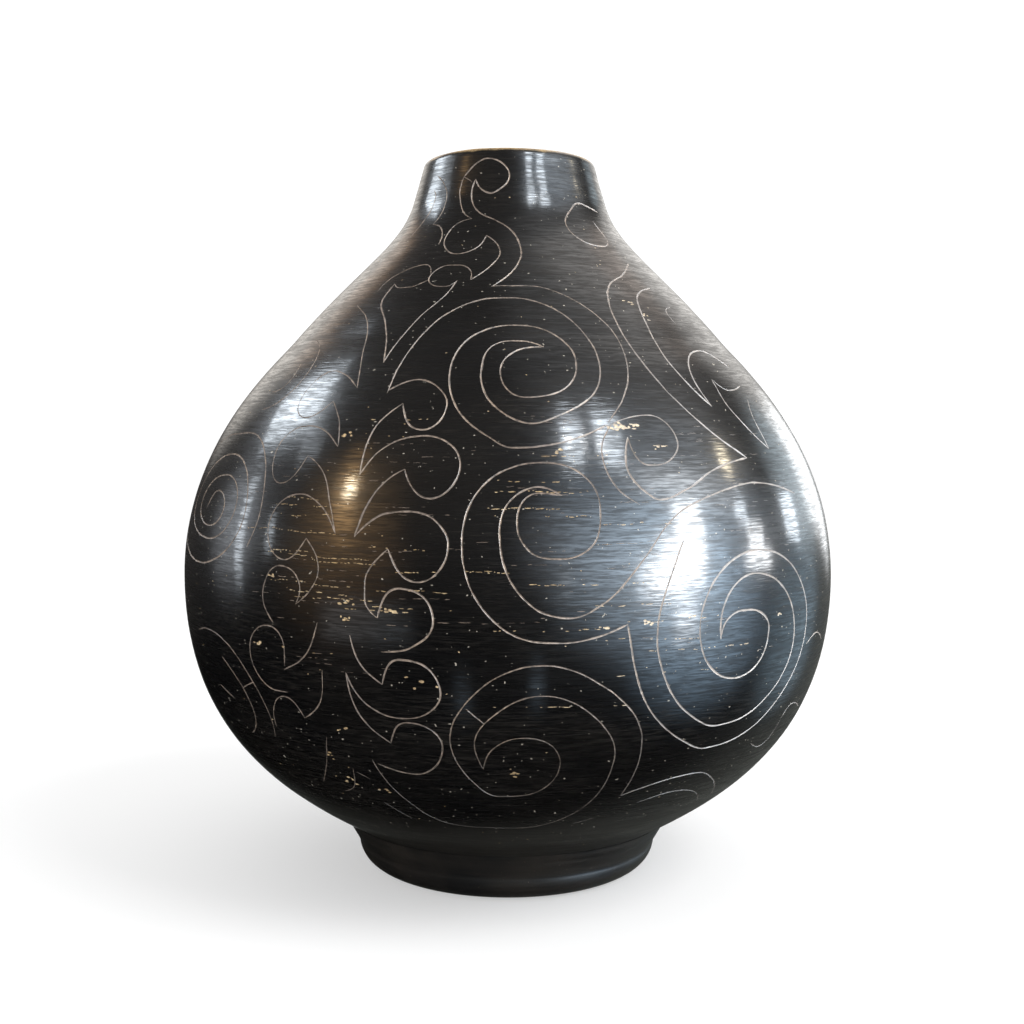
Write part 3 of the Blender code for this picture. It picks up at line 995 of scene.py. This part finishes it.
def floor_piece(name, materials):
    """The pressed slab that closes the jar below. Its faces are even; its matt clay has marks of turning and
    wiping.
    """
    build = Build()
    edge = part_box("base_floor")[1].x
    crease, outwards, along = crease_directions()
    under_edge_z = (crease - along * TUCK_LENGTH).y
    bevel = (FLOOR_TOP - under_edge_z) * outwards.x / -outwards.y
    top_edge = edge - bevel
    top = [Vector((top_edge * i / FLOOR_RINGS, FLOOR_TOP)) for i in range(1, FLOOR_RINGS + 1)]
    bottom = [Vector((edge * i / FLOOR_RINGS, FLOOR_UNDERSIDE)) for i in range(FLOOR_RINGS, 0, -1)]
    profile = top + [Vector((edge, under_edge_z))] + bottom
    upwards = profile[::-1]
    last = len(upwards) - 1
    rings = []
    for i in range(len(profile)):
        rings.append(ring(build, upwards, last - i, 0.0, 0.8 * i))
    for i in range(len(rings) - 1):
        is_edge = FLOOR_RINGS - 1 <= i <= FLOOR_RINGS + 1
        join_rings(build, rings[i + 1], rings[i], 0, flat=is_edge)
    centre_top = build.add_points(np.array([(0, 0, FLOOR_TOP)]), np.array([(0.0, 0.0, 1.0)]))[0]
    centre_low = build.add_points(np.array([(0, 0, FLOOR_UNDERSIDE)]), np.array([(0.0, 0.0, -1.0)]))[0]
    for i in range(COLUMNS):
        j = (i + 1) % COLUMNS
        build.add_face((rings[0][i], rings[0][j], centre_top), 0)
        build.add_face((rings[-1][j], rings[-1][i], centre_low), 0)
    return make_piece(name, build, materials)


# ---------------------------------------------------------------- materials
class NodeTree:
    """The nodes of one material, world or light, and short ways to add the ones that they share."""

    def __init__(self, owner):
        owner.use_nodes = True
        self.nodes = owner.node_tree.nodes
        self.links = owner.node_tree.links

    def add(self, kind, **settings):
        node = self.nodes.new(kind)
        for key, value in settings.items():
            setattr(node, key, value)
        return node

    def link(self, output, socket):
        self.links.new(output, socket)

    def noise(self, waves, detail, roughness=0.5):
        """Noise with so many waves to the metre along each of the jar's own axes."""
        place = self.add("ShaderNodeTexCoord")
        mapping = self.add("ShaderNodeMapping")
        mapping.inputs["Scale"].default_value = waves
        noise = self.add("ShaderNodeTexNoise")
        noise.inputs["Scale"].default_value = 1.0
        noise.inputs["Detail"].default_value = detail
        noise.inputs["Roughness"].default_value = roughness
        self.link(place.outputs["Object"], mapping.inputs["Vector"])
        self.link(mapping.outputs["Vector"], noise.inputs["Vector"])
        return noise.outputs["Fac"]

    def ranged(self, value, low, high, to_low, to_high, curve="LINEAR"):
        """A value's range mapped onto another one."""
        node = self.add("ShaderNodeMapRange", clamp=True, interpolation_type=curve)
        for key, number in zip(("From Min", "From Max", "To Min", "To Max"), (low, high, to_low, to_high)):
            node.inputs[key].default_value = number
        self.link(value, node.inputs["Value"])
        return node.outputs["Result"]

    def maths(self, operation, a, b):
        node = self.add("ShaderNodeMath", operation=operation)
        for socket, value in zip(node.inputs, (a, b)):
            if isinstance(value, (int, float)):
                socket.default_value = value
            else:
                self.link(value, socket)
        return node.outputs[0]

    def times(self, a, b):
        return self.maths("MULTIPLY", a, b)

    def plus(self, a, b):
        return self.maths("ADD", a, b)

    def mixed(self, share, first, second):
        """A colour between two colours, each a triple or a node's output."""
        node = self.add("ShaderNodeMix", data_type="RGBA")
        self.link(share, node.inputs["Factor"])
        for key, colour in ((6, first), (7, second)):
            if isinstance(colour, tuple):
                node.inputs[key].default_value = (*colour, 1.0)
            else:
                self.link(colour, node.inputs[key])
        return node.outputs[2]

    def along(self, axis):
        """How far along one of the jar's own axes the clay is, in metres."""
        place = self.add("ShaderNodeTexCoord")
        split = self.add("ShaderNodeSeparateXYZ")
        self.link(place.outputs["Object"], split.inputs["Vector"])
        return split.outputs[axis]

    def finish(self, **sockets):
        """Sets or links the shader's sockets, whose names are given with _ for a space."""
        shader = self.nodes["Principled BSDF"]
        for name, value in sockets.items():
            socket = shader.inputs[name.replace("_", " ")]
            if isinstance(value, bpy.types.NodeSocket):
                self.link(value, socket)
            else:
                socket.default_value = value
        return shader

    def bump(self, height, strength, distance):
        node = self.add("ShaderNodeBump")
        node.inputs["Strength"].default_value = strength
        node.inputs["Distance"].default_value = distance
        self.link(height, node.inputs["Height"])
        return node.outputs["Normal"]

    def unless_glossy(self, plain, mirrored_view):
        """One shader for every ray but the glossy ones, which see the other."""
        path = self.add("ShaderNodeLightPath")
        mix = self.add("ShaderNodeMixShader")
        self.link(path.outputs["Is Glossy Ray"], mix.inputs[0])
        self.link(plain, mix.inputs[1])
        self.link(mirrored_view, mix.inputs[2])
        return mix.outputs[0]


def new_material(name):
    material = bpy.data.materials.new(name)
    return material, NodeTree(material)


# colours, linear
SOOT = (0.0022, 0.0023, 0.0027)
BROWN_SOOT = (0.0046, 0.0042, 0.0039)
RUBBED_SOOT = (0.014, 0.0125, 0.011)
DULL_SOOT = (0.021, 0.019, 0.016)
DARK_LOW_SCRATCH = (0.016, 0.014, 0.012)
# painted highlight: pale specks that stand in for glints of light in the gloss's pits
PIT_GLINT_PAINT = (0.34, 0.31, 0.26)
MATT_SPECK = (0.16, 0.13, 0.10)
WORN_TAN_DARK = (0.20, 0.12, 0.05)
WORN_TAN_LIGHT = (0.46, 0.33, 0.16)
# painted light: the paler colour of the scratches on the jar's lit right side
LIT_SIDE_SCRATCH_PAINT = (0.56, 0.56, 0.56)
# heights on the jar, in metres
DULL_FROM, DULL_TO = 0.040, 0.020
FAINT_FROM, FAINT_TO = 0.082, 0.032
# painted light: how far to the jar's right its scratches start to be painted paler, as on the lit side, and
# how far they are palest, in metres
LIT_SIDE_FROM, LIT_SIDE_TO = 0.010, 0.055
# the lip's clay starts to show this far above worn_from, is bare from the second, and has a ragged edge
WORN_EDGE = (0.0014, 0.0024)
WORN_RAGGEDNESS = 0.0030


def burnished_clay(name, roughness, coat_roughness, worn_from=None):
    """Smoke-fired black clay, rubbed to a gloss in level strokes, with fine wear showing brown and pale
    specks painted as glints in its pits.
    """
    material, tree = new_material(name)
    cloud = tree.noise(waves=(28, 28, 28), detail=3)
    streaks = tree.noise(waves=(36, 36, 900), detail=3, roughness=0.6)
    hairlines = tree.noise(waves=(140, 140, 2000), detail=2, roughness=0.75)
    grain = tree.noise(waves=(1500, 1500, 1900), detail=2)
    pits = tree.noise(waves=(800, 800, 1100), detail=1)
    brushed = tree.ranged(tree.noise(waves=(22, 22, 60), detail=2), 0.36, 0.60, 0.25, 1.0)
    scratched = tree.times(tree.ranged(hairlines, 0.46, 0.66, 0.0, 1.0), brushed)
    flecks = tree.ranged(pits, 0.755, 0.775, 0.0, 1.0)
    height = tree.along("Z")
    dull = tree.ranged(height, DULL_TO, DULL_FROM, 1.0, 0.0)
    colour = tree.mixed(tree.ranged(cloud, 0.35, 0.7, 0, 1), SOOT, BROWN_SOOT)
    colour = tree.mixed(scratched, colour, RUBBED_SOOT)
    # painted highlight: the rougher pits get pale specks that stand in for the glints they catch
    colour = tree.mixed(flecks, colour, PIT_GLINT_PAINT)
    colour = tree.mixed(dull, colour, DULL_SOOT)
    rough = tree.ranged(streaks, 0.3, 0.7, roughness - 0.04, roughness + 0.06)
    rough = tree.plus(rough, tree.times(flecks, 0.4))
    rough = tree.plus(rough, tree.times(dull, 0.18))
    if worn_from is not None:
        patchy = tree.noise(waves=(130, 130, 160), detail=3)
        lifted = tree.plus(height, tree.times(patchy, WORN_RAGGEDNESS))
        worn = tree.ranged(lifted, worn_from + WORN_EDGE[0], worn_from + WORN_EDGE[1], 0.0, 1.0)
        tan = tree.mixed(tree.ranged(grain, 0.3, 0.7, 0, 1), WORN_TAN_DARK, WORN_TAN_LIGHT)
        colour = tree.mixed(worn, colour, tan)
        rough = tree.plus(rough, tree.times(worn, 0.25))
    kept_gloss = tree.ranged(hairlines, 0.41, 0.59, 1.0, 0.28)
    kept_gloss = tree.times(kept_gloss, tree.ranged(streaks, 0.36, 0.62, 1.0, 0.6))
    kept_gloss = tree.times(kept_gloss, tree.ranged(dull, 0.0, 1.0, 1.0, 0.35))
    coat_rough = tree.ranged(scratched, 0.0, 0.8, coat_roughness - 0.02, coat_roughness + 0.15)
    relief = tree.plus(tree.times(streaks, 0.6), tree.times(tree.times(hairlines, brushed), 0.9))
    relief = tree.plus(relief, tree.times(grain, 0.05))
    normal = tree.bump(relief, strength=0.36, distance=0.00012)
    tree.finish(Base_Color=colour, Roughness=rough, Specular_IOR_Level=0.22, Normal=normal)
    tree.finish(Coat_Weight=kept_gloss, Coat_IOR=1.72, Coat_Roughness=coat_rough, Coat_Normal=normal)
    return material


def scraped_clay(name, dark, light, tan, faint_share, lit_side_share):
    """Bare fired clay in a scratch or a chip. It shows less low on the jar, and is painted paler on its lit
    right side.
    """
    material, tree = new_material(name)
    grain = tree.noise(waves=(900, 900, 900), detail=3)
    patches = tree.noise(waves=(60, 60, 60), detail=2)
    light = tree.mixed(tree.ranged(patches, 0.35, 0.68, 0, 1), light, tan)
    colour = tree.mixed(tree.ranged(grain, 0.32, 0.62, 0, 1), dark, light)
    # painted light: the scratches are painted paler towards the jar's lit right side
    lit_side_paint = tree.ranged(tree.along("X"), LIT_SIDE_FROM, LIT_SIDE_TO, 0.0, lit_side_share)
    colour = tree.mixed(lit_side_paint, colour, LIT_SIDE_SCRATCH_PAINT)
    # the scratches are darker towards the bottom of the jar
    shown = tree.ranged(tree.along("Z"), FAINT_TO, FAINT_FROM, faint_share, 1.0)
    colour = tree.mixed(shown, DARK_LOW_SCRATCH, colour)
    normal = tree.bump(grain, strength=0.5, distance=0.00008)
    tree.finish(Base_Color=colour, Roughness=0.5, Specular_IOR_Level=0.7, Normal=normal)
    return material


def matt_clay(name, dark, light, roughness, gloss):
    """Unburnished or hardly burnished clay, with the marks of turning and wiping."""
    material, tree = new_material(name)
    cloud = tree.noise(waves=(45, 45, 60), detail=4)
    wiping = tree.noise(waves=(30, 30, 700), detail=3)
    grain = tree.noise(waves=(1300, 1300, 1300), detail=3)
    share = tree.times(cloud, tree.plus(wiping, 0.5))
    colour = tree.mixed(tree.ranged(share, 0.35, 0.65, 0, 1), dark, light)
    colour = tree.mixed(tree.ranged(grain, 0.70, 0.74, 0.0, 0.7), colour, MATT_SPECK)
    rough = tree.ranged(wiping, 0.3, 0.7, roughness - 0.06, roughness + 0.08)
    relief = tree.plus(tree.times(wiping, 0.6), tree.times(grain, 0.3))
    normal = tree.bump(relief, strength=0.4, distance=0.0002)
    tree.finish(Base_Color=colour, Roughness=rough, Specular_IOR_Level=gloss, Normal=normal)
    return material


# ---------------------------------------------------------------- camera, floor and light
CAMERA_PLACE = Vector((0.0, -0.4808, 0.1558))
CAMERA_PITCH = math.radians(3.56)
CAMERA_ROLL = math.radians(0.25)
# millimetres
CAMERA_LENS = 46.8
CAMERA_SENSOR = 36.0
# the share of the picture's width by which the view is shifted sideways
CAMERA_SHIFT = 0.0039
FLOOR_RADIUS = 30.0
FLOOR_CORNERS = 96
# the light that seems to come through the white sheet, which keeps the shadow pale
FLOOR_GLOW = 0.44
FLOOR_GREYS = ((0.49, 0.49, 0.49), (0.51, 0.51, 0.51))
WHITE = (1.0, 1.0, 1.0)


def make_camera():
    data = bpy.data.cameras.new("camera")
    data.lens = CAMERA_LENS
    data.sensor_width = CAMERA_SENSOR
    data.shift_x = CAMERA_SHIFT
    camera = link_object("camera", data)
    tilt = Matrix.Rotation(math.radians(90) - CAMERA_PITCH, 4, "X")
    camera.matrix_world = Matrix.Translation(CAMERA_PLACE) @ tilt @ Matrix.Rotation(CAMERA_ROLL, 4, "Z")
    bpy.context.scene.camera = camera


def make_floor():
    """A wide pale floor. The jar's gloss looks through it to the dim room, as over a small sheet."""
    material, tree = new_material("studio_floor")
    colour = tree.mixed(tree.noise(waves=(3, 3, 3), detail=2), *FLOOR_GREYS)
    shader = tree.finish(Base_Color=colour, Roughness=0.9, Specular_IOR_Level=0.0)
    tree.finish(Emission_Color=(*WHITE, 1.0), Emission_Strength=FLOOR_GLOW)
    clear = tree.add("ShaderNodeBsdfTransparent")
    seen = tree.unless_glossy(shader.outputs[0], clear.outputs[0])
    tree.link(seen, tree.nodes["Material Output"].inputs["Surface"])
    angles = [math.tau * i / FLOOR_CORNERS for i in range(FLOOR_CORNERS)]
    rim = [(FLOOR_RADIUS * math.cos(angle), FLOOR_RADIUS * math.sin(angle), 0) for angle in angles]
    mesh = bpy.data.meshes.new("studio_floor")
    mesh.from_pydata(rim, [], [list(range(FLOOR_CORNERS))])
    mesh.materials.append(material)
    link_object("studio_floor", mesh)


# the dim room grows brighter from one height of a direction to another, in the colour of old plaster
ROOM_FROM, ROOM_TO = -0.25, 0.45
ROOM_DARKEST, ROOM_LIGHTEST = 0.004, 0.125
ROOM_COLOUR = (1.0, 0.93, 0.88)
STUDIO_STRENGTH = 1.15
# the share of a glow's half width that is evenly bright
GLOW_CORE = 0.15
# what the gloss mirrors of the room: azimuth and elevation of its middle in degrees (azimuth 0 is in
# front of the jar and 90 is to its right), its half width in degrees, brightness and colour
ROOM_GLOWS = (
    (162, 30, 27, 1.45, (1.00, 0.97, 0.93)),
    (142, 58, 22, 0.70, (1.00, 0.95, 0.90)),
    (143, 45, 12, 0.32, (1.00, 0.62, 0.40)),
    (100, 62, 35, 0.50, (0.98, 0.99, 1.00)),
    (58, 14, 52, 1.60, (0.62, 0.80, 1.00)),
    (28, 16, 28, 1.00, (0.82, 0.90, 1.00)),
    (82, 34, 28, 0.65, (1.00, 0.98, 0.95)),
    (62, 12, 26, 1.75, (0.62, 0.82, 1.00)),
    (68, -13, 31, 2.30, (0.55, 0.77, 1.00)),
    (116, -12, 22, 0.95, (0.58, 0.81, 1.00)),
    (128, 13, 17, 1.65, (0.76, 0.91, 1.00)),
    (-158, 23, 21, 1.15, (1.00, 0.95, 0.88)),
    (-176, -9, 15, 1.10, (0.98, 0.99, 1.00)),
    (-149, 34, 12, 0.45, (1.00, 0.60, 0.34)),
    (-110, 8, 18, 0.70, (0.90, 0.93, 1.00)),
    (-106, 26, 24, 0.16, (0.82, 0.90, 1.00)),
    (-58, 6, 30, 0.32, (1.00, 0.62, 0.34)),
    (150, -22, 55, 0.12, (0.95, 1.00, 0.92)),
)


def towards(azimuth, elevation):
    """The unit direction at an azimuth and elevation in degrees."""
    turn, lift = math.radians(azimuth), math.radians(elevation)
    return Vector((math.sin(turn) * math.cos(lift), -math.cos(turn) * math.cos(lift), math.sin(lift)))


def make_world():
    """An even white that lights the stage, and the dim room with soft glows that the gloss mirrors."""
    world = bpy.data.worlds.new("studio")
    bpy.context.scene.world = world
    tree = NodeTree(world)
    tree.nodes.clear()
    place = tree.add("ShaderNodeTexCoord")
    split = tree.add("ShaderNodeSeparateXYZ")
    tree.link(place.outputs["Generated"], split.inputs["Vector"])
    dim = tree.ranged(split.outputs["Z"], ROOM_FROM, ROOM_TO, ROOM_DARKEST, ROOM_LIGHTEST)
    total = tree.mixed(dim, (0.0, 0.0, 0.0), ROOM_COLOUR)
    for azimuth, elevation, half_width, brightness, colour in ROOM_GLOWS:
        dot = tree.add("ShaderNodeVectorMath", operation="DOT_PRODUCT")
        tree.link(place.outputs["Generated"], dot.inputs[0])
        dot.inputs[1].default_value = towards(azimuth, elevation)
        edge, core = (math.cos(math.radians(half_width * share)) for share in (1.0, GLOW_CORE))
        rise = tree.ranged(dot.outputs["Value"], edge, core, 0.0, 1.0, "SMOOTHSTEP")
        glow = tree.add("ShaderNodeVectorMath", operation="SCALE")
        glow.inputs[0].default_value = [c * brightness for c in colour]
        tree.link(rise, glow.inputs["Scale"])
        together = tree.add("ShaderNodeVectorMath", operation="ADD")
        tree.link(total, together.inputs[0])
        tree.link(glow.outputs[0], together.inputs[1])
        total = together.outputs[0]
    room = tree.add("ShaderNodeBackground")
    tree.link(total, room.inputs["Color"])
    pale = tree.add("ShaderNodeBackground")
    pale.inputs["Color"].default_value = (*WHITE, 1.0)
    pale.inputs["Strength"].default_value = STUDIO_STRENGTH
    out = tree.add("ShaderNodeOutputWorld")
    tree.link(tree.unless_glossy(pale.outputs[0], room.outputs[0]), out.inputs["Surface"])


def mirrored(azimuth, height):
    """A point of the outside, and the direction that the camera's line of sight takes off it."""
    x = np.array([math.radians(azimuth) * CHART])
    y = np.array([float(chart_y(height * MM))])
    point = Vector(wrapped(x, y)[0])
    _, _, out_r, out_z = (float(v[0]) for v in outline_at(y))
    angle = math.radians(azimuth)
    normal = Vector((out_r * math.sin(angle), -out_r * math.cos(angle), out_z)).normalized()
    sight = (point - CAMERA_PLACE).normalized()
    return point, (sight - 2 * sight.dot(normal) * normal).normalized()


def make_light(name, matrix, width, height, watts, colour):
    data = bpy.data.lights.new(name, "AREA")
    data.shape = "RECTANGLE"
    data.size = width
    data.size_y = height
    data.energy = watts
    data.color = colour
    light = link_object(name, data)
    light.matrix_world = matrix
    return light


def soften(data, softness):
    """Fades a rectangular light towards its edges. softness is the share of it that fades."""
    tree = NodeTree(data)
    across = tree.add("ShaderNodeSeparateXYZ")
    tree.link(tree.add("ShaderNodeNewGeometry").outputs["Parametric"], across.inputs[0])
    shares = []
    for axis in ("X", "Y"):
        off_middle = tree.maths("ABSOLUTE", tree.maths("SUBTRACT", across.outputs[axis], 0.5), 0.0)
        shares.append(tree.ranged(off_middle, 0.5, 0.5 - 0.5 * softness, 0.0, 1.0, "SMOOTHSTEP"))
    tree.link(tree.times(*shares), tree.nodes["Emission"].inputs["Strength"])


def window(name, azimuths, heights, distance, radiance, colour, softness):
    """A soft window placed where the jar shows it between two azimuths and two heights (mm)."""
    azimuth, height = sum(azimuths) / 2, sum(heights) / 2
    middle, direction = mirrored(azimuth, height)
    place = middle + direction * distance
    edges = []
    at_sides = [(side, height) for side in azimuths]
    at_ends = [(azimuth, end) for end in heights]
    for on_jar in at_sides + at_ends:
        point, ray = mirrored(*on_jar)
        edges.append(point + ray * ((place - point).dot(direction) / direction.dot(ray)))
    left, right, bottom, top = edges
    upwards = (top - bottom).normalized()
    sideways = upwards.cross(direction)
    width = abs((right - left).dot(sideways))
    tall = (top - bottom).length
    turn = Matrix((sideways, upwards, direction)).transposed().to_4x4()
    watts = radiance * math.pi * width * tall
    light = make_light(name, Matrix.Translation(sum(edges, Vector()) / 4) @ turn, width, tall, watts, colour)
    light.visible_diffuse = False
    soften(light.data, softness)


PALE = (0.96, 0.98, 1.0)
COOL = (0.84, 0.92, 1.0)
BLUE = (0.66, 0.83, 1.0)
WARM = (1.0, 0.86, 0.62)
GOLD = (1.0, 0.60, 0.26)
# name, azimuths and heights where the jar shows it, distance, radiance, colour, share that fades
WINDOWS = (
    ("main_window", (24.2, 31), (108, 138), 1.2, 24.0, PALE, 0.6),
    ("main_window_slant", (20.5, 29), (107, 130), 1.2, 20.0, PALE, 0.9),
    ("main_window_side", (17.6, 26.5), (105, 122), 1.2, 26.0, PALE, 1.0),
    ("main_window_sill", (23.5, 29.5), (94, 112), 1.2, 12.0, PALE, 0.8),
    ("main_window_halo", (3, 40), (86, 148), 1.4, 4.6, BLUE, 1.0),
    ("main_window_crown", (14, 41), (130, 148), 1.3, 6.4, PALE, 1.0),
    ("side_strip_a", (38.9, 43.8), (117, 130), 1.3, 14.0, PALE, 0.5),
    ("side_strip_a_edge", (37.0, 40.8), (126, 138), 1.3, 11.0, COOL, 0.7),
    ("side_strip_a_foot", (37.4, 45.8), (114, 121.5), 1.3, 15.0, PALE, 0.5),
    ("side_strip_b", (49, 55), (120, 138), 1.3, 10.0, COOL, 0.6),
    ("side_strip_c", (57, 72), (112, 172), 1.3, 3.4, PALE, 0.6),
    ("lamp_right", (36.2, 39.8), (141, 153), 1.3, 20.0, WARM, 0.9),
    ("small_window_left", (7.6, 11.2), (150, 165), 1.5, 4.6, COOL, 0.8),
    ("small_window_right", (13.2, 17.4), (150, 165), 1.5, 4.8, COOL, 0.8),
    ("small_window_dot_1", (8.9, 10.3), (150.2, 153.4), 1.5, 34.0, PALE, 0.8),
    ("small_window_dot_2", (11.5, 13.1), (150.2, 153.4), 1.5, 34.0, PALE, 0.8),
    ("small_window_dot_3", (14.2, 16.2), (150.0, 153.6), 1.5, 34.0, PALE, 0.8),
    ("neck_left", (-56, -40), (228, 251), 1.0, 7.0, COOL, 0.2),
    ("neck_right_a", (9.0, 14.0), (228, 251), 1.0, 14.0, COOL, 0.5),
    ("neck_right_b", (16.0, 22.0), (228, 251), 1.0, 15.0, COOL, 0.5),
    ("shoulder_left", (-46, -34), (160, 176), 1.2, 3.1, COOL, 0.4),
    ("shoulder_left_low", (-46, -32.5), (150, 164), 1.2, 2.6, COOL, 0.5),
    ("shoulder_left_tail", (-38, -31.5), (144, 157), 1.2, 2.0, COOL, 0.6),
    ("left_strip", (-47.2, -44), (104, 147), 1.2, 5.5, COOL, 0.7),
    ("left_haze", (-54, -41), (104, 150), 1.2, 0.7, COOL, 1.0),
    ("left_arc", (-40.4, -37.8), (118, 131), 1.2, 6.0, COOL, 0.8),
    ("warm_lamp", (-26.6, -23), (135, 140.5), 1.2, 46.0, WARM, 1.0),
    ("warm_lamp_streak", (-28, -21.5), (118, 154), 1.2, 4.6, GOLD, 1.0),
    ("warm_lamp_glow", (-35, -13), (106, 152), 1.2, 1.0, GOLD, 1.0),
    ("low_blue_1", (2.4, 6.2), (74, 96), 1.3, 0.9, BLUE, 1.0),
    ("low_blue_2", (-8.6, -4.4), (70, 92), 1.3, 0.6, BLUE, 1.0),
    ("low_pane", (-30, -12), (93, 108), 1.3, 0.55, COOL, 0.5),
    ("front_streak", (6.5, 9.5), (108, 122), 1.3, 1.3, PALE, 0.9),
)


SOFTBOX_PLACE = Vector((1.1, -0.7, 1.3))
SOFTBOX_SIZE = 0.9
SOFTBOX_WATTS = 24.0


def make_lights():
    for settings in WINDOWS:
        window(*settings)
    turn = SOFTBOX_PLACE.to_track_quat("Z", "Y").to_matrix().to_4x4()
    matrix = Matrix.Translation(SOFTBOX_PLACE) @ turn
    key = make_light("key_softbox", matrix, SOFTBOX_SIZE, SOFTBOX_SIZE, SOFTBOX_WATTS, WHITE)
    key.visible_glossy = False


# ---------------------------------------------------------------- the pieces
def hold(piece, slot_name, *nodes):
    """Every piece moves with the one body and stands for its CAD nodes, which are hidden. slot_name is not
    used.
    """
    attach(piece, "root")
    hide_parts(*nodes)


def make_pot():
    cuts = Cuts()
    add_scrolls(cuts)
    add_wear(cuts)
    scratch = scraped_clay(
        "scraped_clay",
        dark=(0.11, 0.089, 0.074),
        light=(0.26, 0.205, 0.17),
        tan=(0.40, 0.315, 0.245),
        faint_share=0.30,
        # painted light: the share by which the scratches are painted paler on the lit right side
        lit_side_share=0.36,
    )
    chip = scraped_clay(
        "chipped_clay",
        dark=(0.24, 0.16, 0.08),
        light=(0.54, 0.38, 0.18),
        tan=(0.66, 0.52, 0.32),
        faint_share=0.8,
        # painted light: the share by which the chips are painted paler on the lit right side
        lit_side_share=0.30,
    )
    inside = matt_clay("inside_clay", (0.014, 0.013, 0.013), (0.026, 0.023, 0.021), 0.62, 0.35)
    glossy = burnished_clay("burnished_black", 0.26, 0.07)
    worn = burnished_clay("worn_black", 0.28, 0.09, worn_from=LIP_HEIGHT - LIP_WORN_DEPTH)
    foot = matt_clay("foot_clay", (0.008, 0.008, 0.008), (0.020, 0.017, 0.014), 0.34, 0.6)
    under = matt_clay("underside_clay", (0.024, 0.021, 0.019), (0.052, 0.044, 0.036), 0.75, 0.3)
    cut_finishes = [scratch, inside, chip]

    hold(foot_piece("foot_ring_turned", [foot, under]), "matt_clay", "foot_ring")
    hold(floor_piece("base_floor_pressed", [under]), "matt_clay", "base_floor")
    bowl = bowl_piece("lower_bowl_scratched", cuts.lines, [glossy] + cut_finishes)
    hold(bowl, "burnished_clay", "lower_bowl")
    for name, bottom, top in zip(("belly_band", "shoulder_dome", "neck_collar"), JOINTS[1:], JOINTS[2:]):
        piece = banded_piece(name + "_scratched", cuts.lines, bottom, top, [glossy] + cut_finishes)
        hold(piece, "burnished_clay", name)
    hold(lip_piece("lip_coil_worn", cuts.lines, [worn] + cut_finishes), "worn_clay", "lip_coil")


make_camera()
make_floor()
make_world()
make_lights()
make_pot()
bpy.context.scene.view_settings.view_transform = "Standard"
